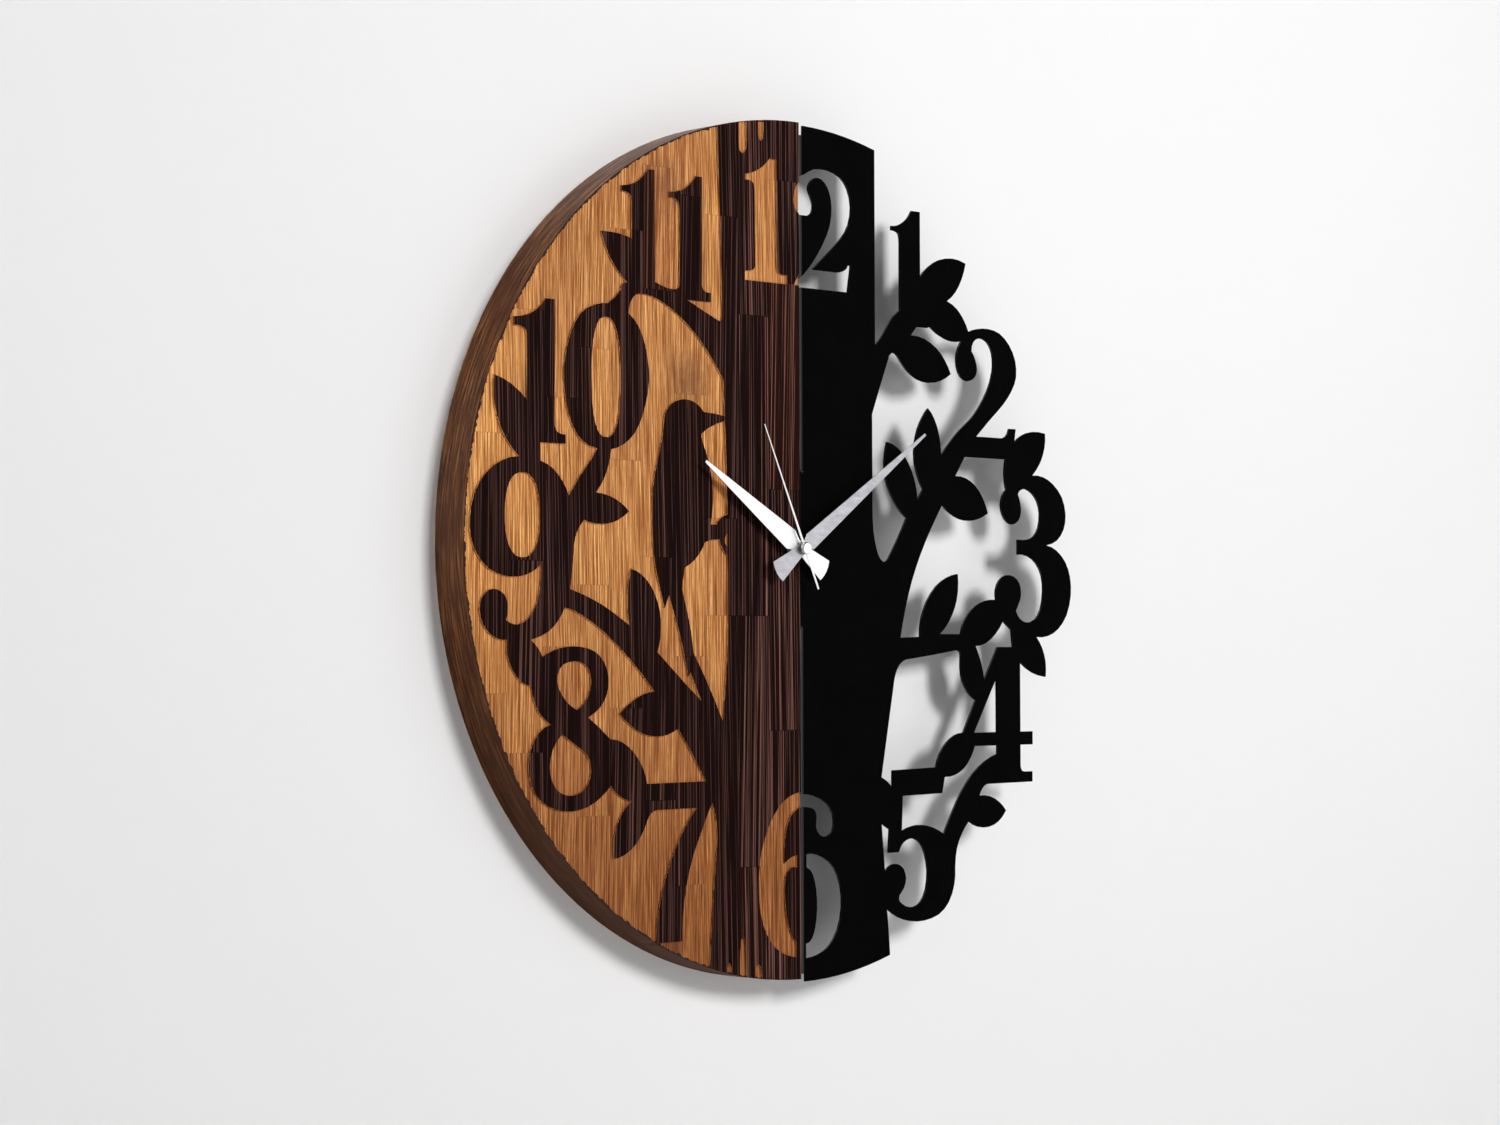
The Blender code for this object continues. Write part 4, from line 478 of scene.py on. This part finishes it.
def welded(node):
    """A CAD node's surface as one connected bmesh of large flat faces."""
    bm = bmesh.new()
    bm.from_mesh(NODES[node].data)
    bmesh.ops.remove_doubles(bm, verts=bm.verts, dist=WELD_DISTANCE)
    for layer in list(bm.loops.layers.float_vector.values()):
        bm.loops.layers.float_vector.remove(layer)
    bmesh.ops.dissolve_limit(bm, angle_limit=math.radians(0.5), verts=bm.verts, edges=bm.edges)
    bm.edges.index_update()
    return bm


def soften(bm, width, segments=2):
    """Round over the sharp edges, except short ones and those at narrow tips."""
    sharp = {e for e in bm.edges if len(e.link_faces) == 2 and e.calc_length() > 3 * width
             and e.calc_face_angle() > SHARP}
    tips = set()
    for vert in bm.verts:
        rays = [e.other_vert(vert).co - vert.co for e in vert.link_edges if e in sharp]
        if any(p.angle(q) < NARROW_TIP for p, q in combinations(rays, 2)):
            tips.add(vert)
    chosen = [e for e in sharp if not tips.intersection(e.verts)]
    chosen.sort(key=lambda e: e.index)
    bmesh.ops.bevel(bm, geom=chosen, offset=width, offset_type="OFFSET", segments=segments,
                    profile=0.5, affect="EDGES", clamp_overlap=False)


def make_piece(name, bm, materials, replaces):
    """Link a finished bmesh as a piece that stands for a CAD node."""
    mesh = bpy.data.meshes.new(name)
    bm.to_mesh(mesh)
    bm.free()
    for made in materials:
        mesh.materials.append(made)
    mesh.shade_smooth()
    piece = bpy.data.objects.new(name, mesh)
    bpy.context.scene.collection.objects.link(piece)
    even = piece.modifiers.new("even normals", "WEIGHTED_NORMAL")
    even.keep_sharp = True
    even.weight = 100
    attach(piece, BODY_OF[replaces])
    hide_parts(replaces)


# Staves of the board from the straight edge outwards, each with the heights
# of its end joints and a tint for every length: -1 pale to 1 red and dark.
FIRST_STAVE = 28.5 * MM
STAVE = 27.0 * MM
STAVES = [
    ((240, 173, 38, -118), (0.1, -0.2, 0.8, 0.15, 0.3)),
    ((150, -44, -205), (-0.3, 0.05, 0.0, 0.5)),
    ((212, 18, -44), (-0.5, -0.2, 0.2, -0.4)),
    ((222, 96, -70, -214), (0.5, -0.1, -0.5, 0.1, 0.4)),
    ((238, 160, -8, -160), (0.2, 0.9, -0.2, -0.4, 0.1)),
    ((196, 52, -102), (-0.1, 0.0, -0.3, -0.1)),
    ((120, -26, -168), (-0.2, -0.4, -0.2, 0.3)),
    ((88, -64), (0.2, -0.3, 0.3)),
    ((140, -12, -128), (-0.4, -0.7, -0.5, 0.0)),
    ((64, -92), (-1.0, -0.8, -0.4)),
    ((20,), (-1.0, -0.8)),
]
LARGEST_SLANT = math.radians(1.6)
CUT_SNAP = 0.001 * MM
SLIVER = 0.012 * MM

# The pale streaks on the dark stain, partly worn-off stain and partly painted highlight, are stronger
# on the trunk than on what stands left of it.
TRUNK_LEFT = -50 * MM
RUB_AND_SHEEN_ON_TRUNK = 1.0
RUB_AND_SHEEN_ELSEWHERE = 0.5

# Distance, in metres, to a seam that a length of wood doesn't have.
NO_SEAM = 1.0

# Order of the board's materials, and the slack in telling its surfaces apart.
DARK, CARVED, RIM, BARE = range(4)
LEVEL_SLACK = 0.05 * MM
EDGE_SLACK = 0.7 * MM


def stave_lines():
    """Right-hand and left-hand side of every stave."""
    right = STRAIGHT_EDGE
    lines = []
    for k in range(len(STAVES)):
        left = right - (FIRST_STAVE if k == 0 else STAVE)
        lines.append((left, right))
        right = left
    return lines


def cut_into_staves(bm):
    """Edge loops along every glue line, so that no face spans two lengths."""
    def cut(faces, point, normal):
        """Cut some of the faces along a plane."""
        geometry = set(faces)
        for face in faces:
            geometry.update(face.edges)
            geometry.update(face.verts)
        bmesh.ops.bisect_plane(bm, geom=list(geometry), dist=CUT_SNAP, plane_co=point,
                               plane_no=normal)

    lines = stave_lines()
    for left, _ in lines[:-1]:
        cut(bm.faces[:], (left, 0, 0), (1, 0, 0))
    for (left, right), (joints, _) in zip(lines, STAVES):
        for z in joints:
            faces = [f for f in bm.faces if left < f.calc_center_median().x < right]
            cut(faces, (0, 0, z * MM), (0, 0, 1))


def mark_grain(bm):
    """Give each face its length of wood: tint, grain coordinates and seams."""
    tint = bm.faces.layers.float.new("tint")
    grain = bm.loops.layers.float_vector.new("grain")
    seam = bm.loops.layers.float_color.new("seam")
    rubbed_and_sheen = bm.loops.layers.float.new("rubbed_and_sheen")
    lines = stave_lines()
    for face in bm.faces:
        centre = face.calc_center_median()
        k = next((n for n, (left, _) in enumerate(lines) if centre.x > left), len(lines) - 1)
        joints, tints = STAVES[k]
        above = [z for z in joints if z * MM > centre.z]
        row = len(above)
        top = above[-1] * MM if above else NO_SEAM
        bottom = joints[row] * MM if row < len(joints) else -NO_SEAM
        left, right = lines[k]
        outer = NO_SEAM if k == 0 else right
        inner = -NO_SEAM if k == len(lines) - 1 else left
        # Every length has its own slant and its own place in the noise.
        turn = math.sin(7.1 * k + 2.3 * row)
        slant = math.tan(LARGEST_SLANT * turn)
        shift = Vector((0.37 * k + 0.113 * row, 0.0, 1.7 * row + 0.61 * k))
        face[tint] = tints[row]
        for loop in face.loops:
            p = loop.vert.co
            loop[grain] = Vector((p.x + slant * p.z, p.y, p.z)) + shift
            loop[seam] = (p.x - inner, outer - p.x, p.z - bottom, top - p.z)
            # Strength of the pale streaks: partly worn-off stain, partly painted highlight.
            loop[rubbed_and_sheen] = RUB_AND_SHEEN_ON_TRUNK if centre.x > TRUNK_LEFT else RUB_AND_SHEEN_ELSEWHERE


def sort_wood_faces(bm):
    """Choose the material of each face by where it lies and faces."""
    floor = FRONT + CARVED_DEPTH
    for face in bm.faces:
        c = face.calc_center_median()
        n = face.normal
        out = math.hypot(c.x - DIAL_X, c.z)
        if out > DIAL_RADIUS - EDGE_SLACK and math.hypot(n.x, n.z) > 0.25:
            face.material_index = RIM
        elif c.y < FRONT + LEVEL_SLACK and n.y < -0.90:
            face.material_index = DARK
        elif c.y < floor + LEVEL_SLACK and c.x < STRAIGHT_EDGE - 0.3 * MM:
            face.material_index = CARVED
        elif c.x > STRAIGHT_EDGE - EDGE_SLACK and n.x > 0.3:
            face.material_index = RIM
        else:
            face.material_index = BARE


def wooden_board():
    """Board with softened edges, cut into its glued staves."""
    bm = welded("wood_half_disc")
    soften(bm, 0.16 * MM, segments=1)
    bmesh.ops.triangulate(bm, faces=bm.faces)
    cut_into_staves(bm)
    bmesh.ops.dissolve_degenerate(bm, dist=SLIVER, edges=bm.edges)
    mark_grain(bm)
    sort_wood_faces(bm)
    make_piece("pine_board", bm, [dark_pine(), carved_pine(), rim_pine(), raw_pine()],
               "wood_half_disc")


def softened_piece(name, node, material, width):
    """CAD shape with rounded edges and a material."""
    bm = welded(node)
    soften(bm, width)
    make_piece(name, bm, [material], node)


def keep_node(node, material):
    """CAD shape kept as it is, with joined and partly smooth shading."""
    piece = NODES[node]
    normals = piece.data.attributes.get("custom_normal")
    if normals:
        piece.data.attributes.remove(normals)
    piece.data.shade_smooth()
    weld = piece.modifiers.new("weld", "WELD")
    weld.merge_threshold = WELD_DISTANCE
    split = piece.modifiers.new("corners", "EDGE_SPLIT")
    split.split_angle = SPLIT_ANGLE
    piece.data.materials.clear()
    piece.data.materials.append(material)


# -------------------------------------------------------------------- stage

WALL_Y = board_high.y + 0.6 * MM
FLOOR_Z = -1.25
REACH = 4.0

# Direction's height and brightness where the surroundings' two tones begin.
LOW_TONE = (0.10, 0.50)
HIGH_TONE = (0.22, 0.06)

# The viewer stands left of the clock, level with its middle.
VIEW_AZIMUTH = -43.56
VIEW_ELEVATION = -1.79
VIEW_DISTANCE = 2.041
VIEW_ROLL = -0.161
VIEW_TARGET = Vector((-0.0391, -0.029, -0.00973))
LENS = 76.15
SENSOR_WIDTH = 36.0


def one_sided_wall():
    """Pale painted wall that only stands in the way from its front."""
    s = Shade("wall_paint")
    s.tree.nodes.remove(s.shader)
    paint = s.add("ShaderNodeBsdfDiffuse")
    paint.inputs["Color"].default_value = (0.86, 0.855, 0.855, 1)
    clear = s.add("ShaderNodeBsdfTransparent")
    behind = s.add("ShaderNodeNewGeometry").outputs["Backfacing"]
    shadow = s.add("ShaderNodeLightPath").outputs["Is Shadow Ray"]
    either = s.math("MAXIMUM", behind, shadow)
    blend = s.add("ShaderNodeMixShader")
    s.link(either, blend.inputs[0])
    s.tree.links.new(paint.outputs[0], blend.inputs[1])
    s.tree.links.new(clear.outputs[0], blend.inputs[2])
    s.tree.links.new(blend.outputs[0], s.tree.nodes["Material Output"].inputs["Surface"])
    return s.material


def floor_paint():
    """Plain pale floor."""
    s = Shade("floor_paint")
    return s.finish(Base_Color=(0.80, 0.79, 0.785), Roughness=0.7)


def panel(name, corners, material):
    """One large flat stage panel."""
    mesh = bpy.data.meshes.new(name)
    mesh.from_pydata(corners, [], [(0, 1, 2, 3)])
    mesh.materials.append(material)
    obj = bpy.data.objects.new(name, mesh)
    bpy.context.scene.collection.objects.link(obj)


def stage():
    """Wall behind the clock and floor well below it."""
    panel("wall", [(-REACH, WALL_Y, FLOOR_Z), (REACH, WALL_Y, FLOOR_Z), (REACH, WALL_Y, REACH),
                   (-REACH, WALL_Y, REACH)], one_sided_wall())
    panel("floor", [(-REACH, -REACH, FLOOR_Z), (REACH, -REACH, FLOOR_Z), (REACH, REACH, FLOOR_Z),
                    (-REACH, REACH, FLOOR_Z)], floor_paint())


def direction(azimuth, elevation):
    """Unit vector from the clock towards a viewer; azimuth 0 is in front."""
    a = math.radians(azimuth)
    e = math.radians(elevation)
    return Vector((math.sin(a) * math.cos(e), -math.cos(a) * math.cos(e), math.sin(e)))


def lamp(name, azimuth, elevation, distance, size, power):
    """Soft square light aimed at the clock."""
    data = bpy.data.lights.new(name, "AREA")
    data.shape = "SQUARE"
    data.size = size
    data.energy = power
    obj = bpy.data.objects.new(name, data)
    bpy.context.scene.collection.objects.link(obj)
    back = direction(azimuth, elevation)
    obj.location = back * distance
    obj.rotation_mode = "QUATERNION"
    obj.rotation_quaternion = back.to_track_quat("Z", "Y")


def lights():
    """Key a little right of and above the front, two fills, and two lamps behind."""
    lamp("key", 8, 20, 2.6, 0.74, 46)
    lamp("fill_left", -62, 12, 2.4, 1.4, 3)
    lamp("reflected", 46, 4, 2.6, 1.6, 8)
    lamp("back_left", 150, 30, 2.6, 1.2, 26)
    lamp("back_right", 205, 10, 2.6, 1.2, 16)


def surroundings():
    """Studio brighter around and below the clock than above it."""
    world = bpy.data.worlds.new("studio")
    world.use_nodes = True
    tree = world.node_tree
    aim = tree.nodes.new("ShaderNodeTexCoord")
    split = tree.nodes.new("ShaderNodeSeparateXYZ")
    band = tree.nodes.new("ShaderNodeValToRGB")
    for element, (position, grey) in zip(band.color_ramp.elements, (LOW_TONE, HIGH_TONE)):
        element.position = position
        element.color = (grey, grey, grey, 1)
    tree.links.new(aim.outputs["Generated"], split.inputs[0])
    tree.links.new(split.outputs["Z"], band.inputs["Fac"])
    tree.links.new(band.outputs["Color"], tree.nodes["Background"].inputs["Color"])
    bpy.context.scene.world = world


def camera():
    """Camera to the left of the clock, level with its middle."""
    data = bpy.data.cameras.new("camera")
    data.lens = LENS
    data.sensor_width = SENSOR_WIDTH
    data.clip_start = 0.05
    data.clip_end = 50.0
    obj = bpy.data.objects.new("camera", data)
    bpy.context.scene.collection.objects.link(obj)
    back = direction(VIEW_AZIMUTH, VIEW_ELEVATION)
    obj.location = VIEW_TARGET + back * VIEW_DISTANCE
    obj.rotation_mode = "QUATERNION"
    level = (-back).to_track_quat("-Z", "Y")
    obj.rotation_quaternion = level @ Quaternion((0, 0, 1), math.radians(VIEW_ROLL))
    bpy.context.scene.camera = obj


# ------------------------------------------------------------------- build

REPLACED = {"wood_half_disc", "metal_half_panel", "hour_hand", "minute_hand", "second_hand"}


def dress_movement():
    """Materials for the nodes that keep their CAD meshes."""
    by_slot = {
        "zinc_steel": plated("zinc_plate", (0.68, 0.69, 0.70), (0.46, 0.46, 0.45)),
        "black_plastic": moulded("black_abs", (0.016, 0.016, 0.017), (0.030, 0.030, 0.031)),
        "brass": plated("turned_brass", (0.80, 0.56, 0.22), (0.52, 0.34, 0.13)),
        "rubber": soft_rubber(),
        "battery": cell_wrapper(),
        "circuit_board": solder_mask(),
        "aluminium": plated("bright_aluminium", (0.90, 0.90, 0.91), (0.70, 0.70, 0.72)),
        "amber_plastic": moulded("amber_nylon", (0.62, 0.33, 0.08), (0.50, 0.24, 0.05)),
        "copper": wound_copper(),
        "white_plastic": moulded("white_acetal", (0.80, 0.80, 0.77), (0.70, 0.70, 0.66)),
    }
    for subpart in frame["record"]["subparts"]:
        if subpart["node"] not in REPLACED:
            keep_node(subpart["node"], by_slot[subpart["material_slot"]])


camera()
stage()
lights()
surroundings()
wooden_board()
softened_piece("steel_panel", "metal_half_panel", powder_coat(), 0.12 * MM)
# The hour hand is the hands' aluminium painted near white: a painted reflection of the light, the lit
# copy of the minute hand's sheet.
softened_piece("hour_blade", "hour_hand",
               brushed("hour_sheet_painted_reflection", (0.98, 0.98, 0.97), (0.90, 0.90, 0.90), (300, 300, 60),
                       (0.40, 0.52), 0.55), 0.10 * MM)
# The minute hand is the same aluminium painted grey: painted shade, the unlit copy of the hour hand's
# sheet.
softened_piece("minute_blade", "minute_hand",
               brushed("minute_sheet_painted_shade", (0.52, 0.52, 0.54), (0.34, 0.34, 0.37), (60, 300, 300)),
               0.10 * MM)
softened_piece("second_blade", "second_hand",
               brushed("pale_sheet", (0.90, 0.89, 0.88), (0.70, 0.70, 0.70), (300, 300, 60)),
               0.06 * MM)
dress_movement()

bpy.context.scene.view_settings.view_transform = "Standard"
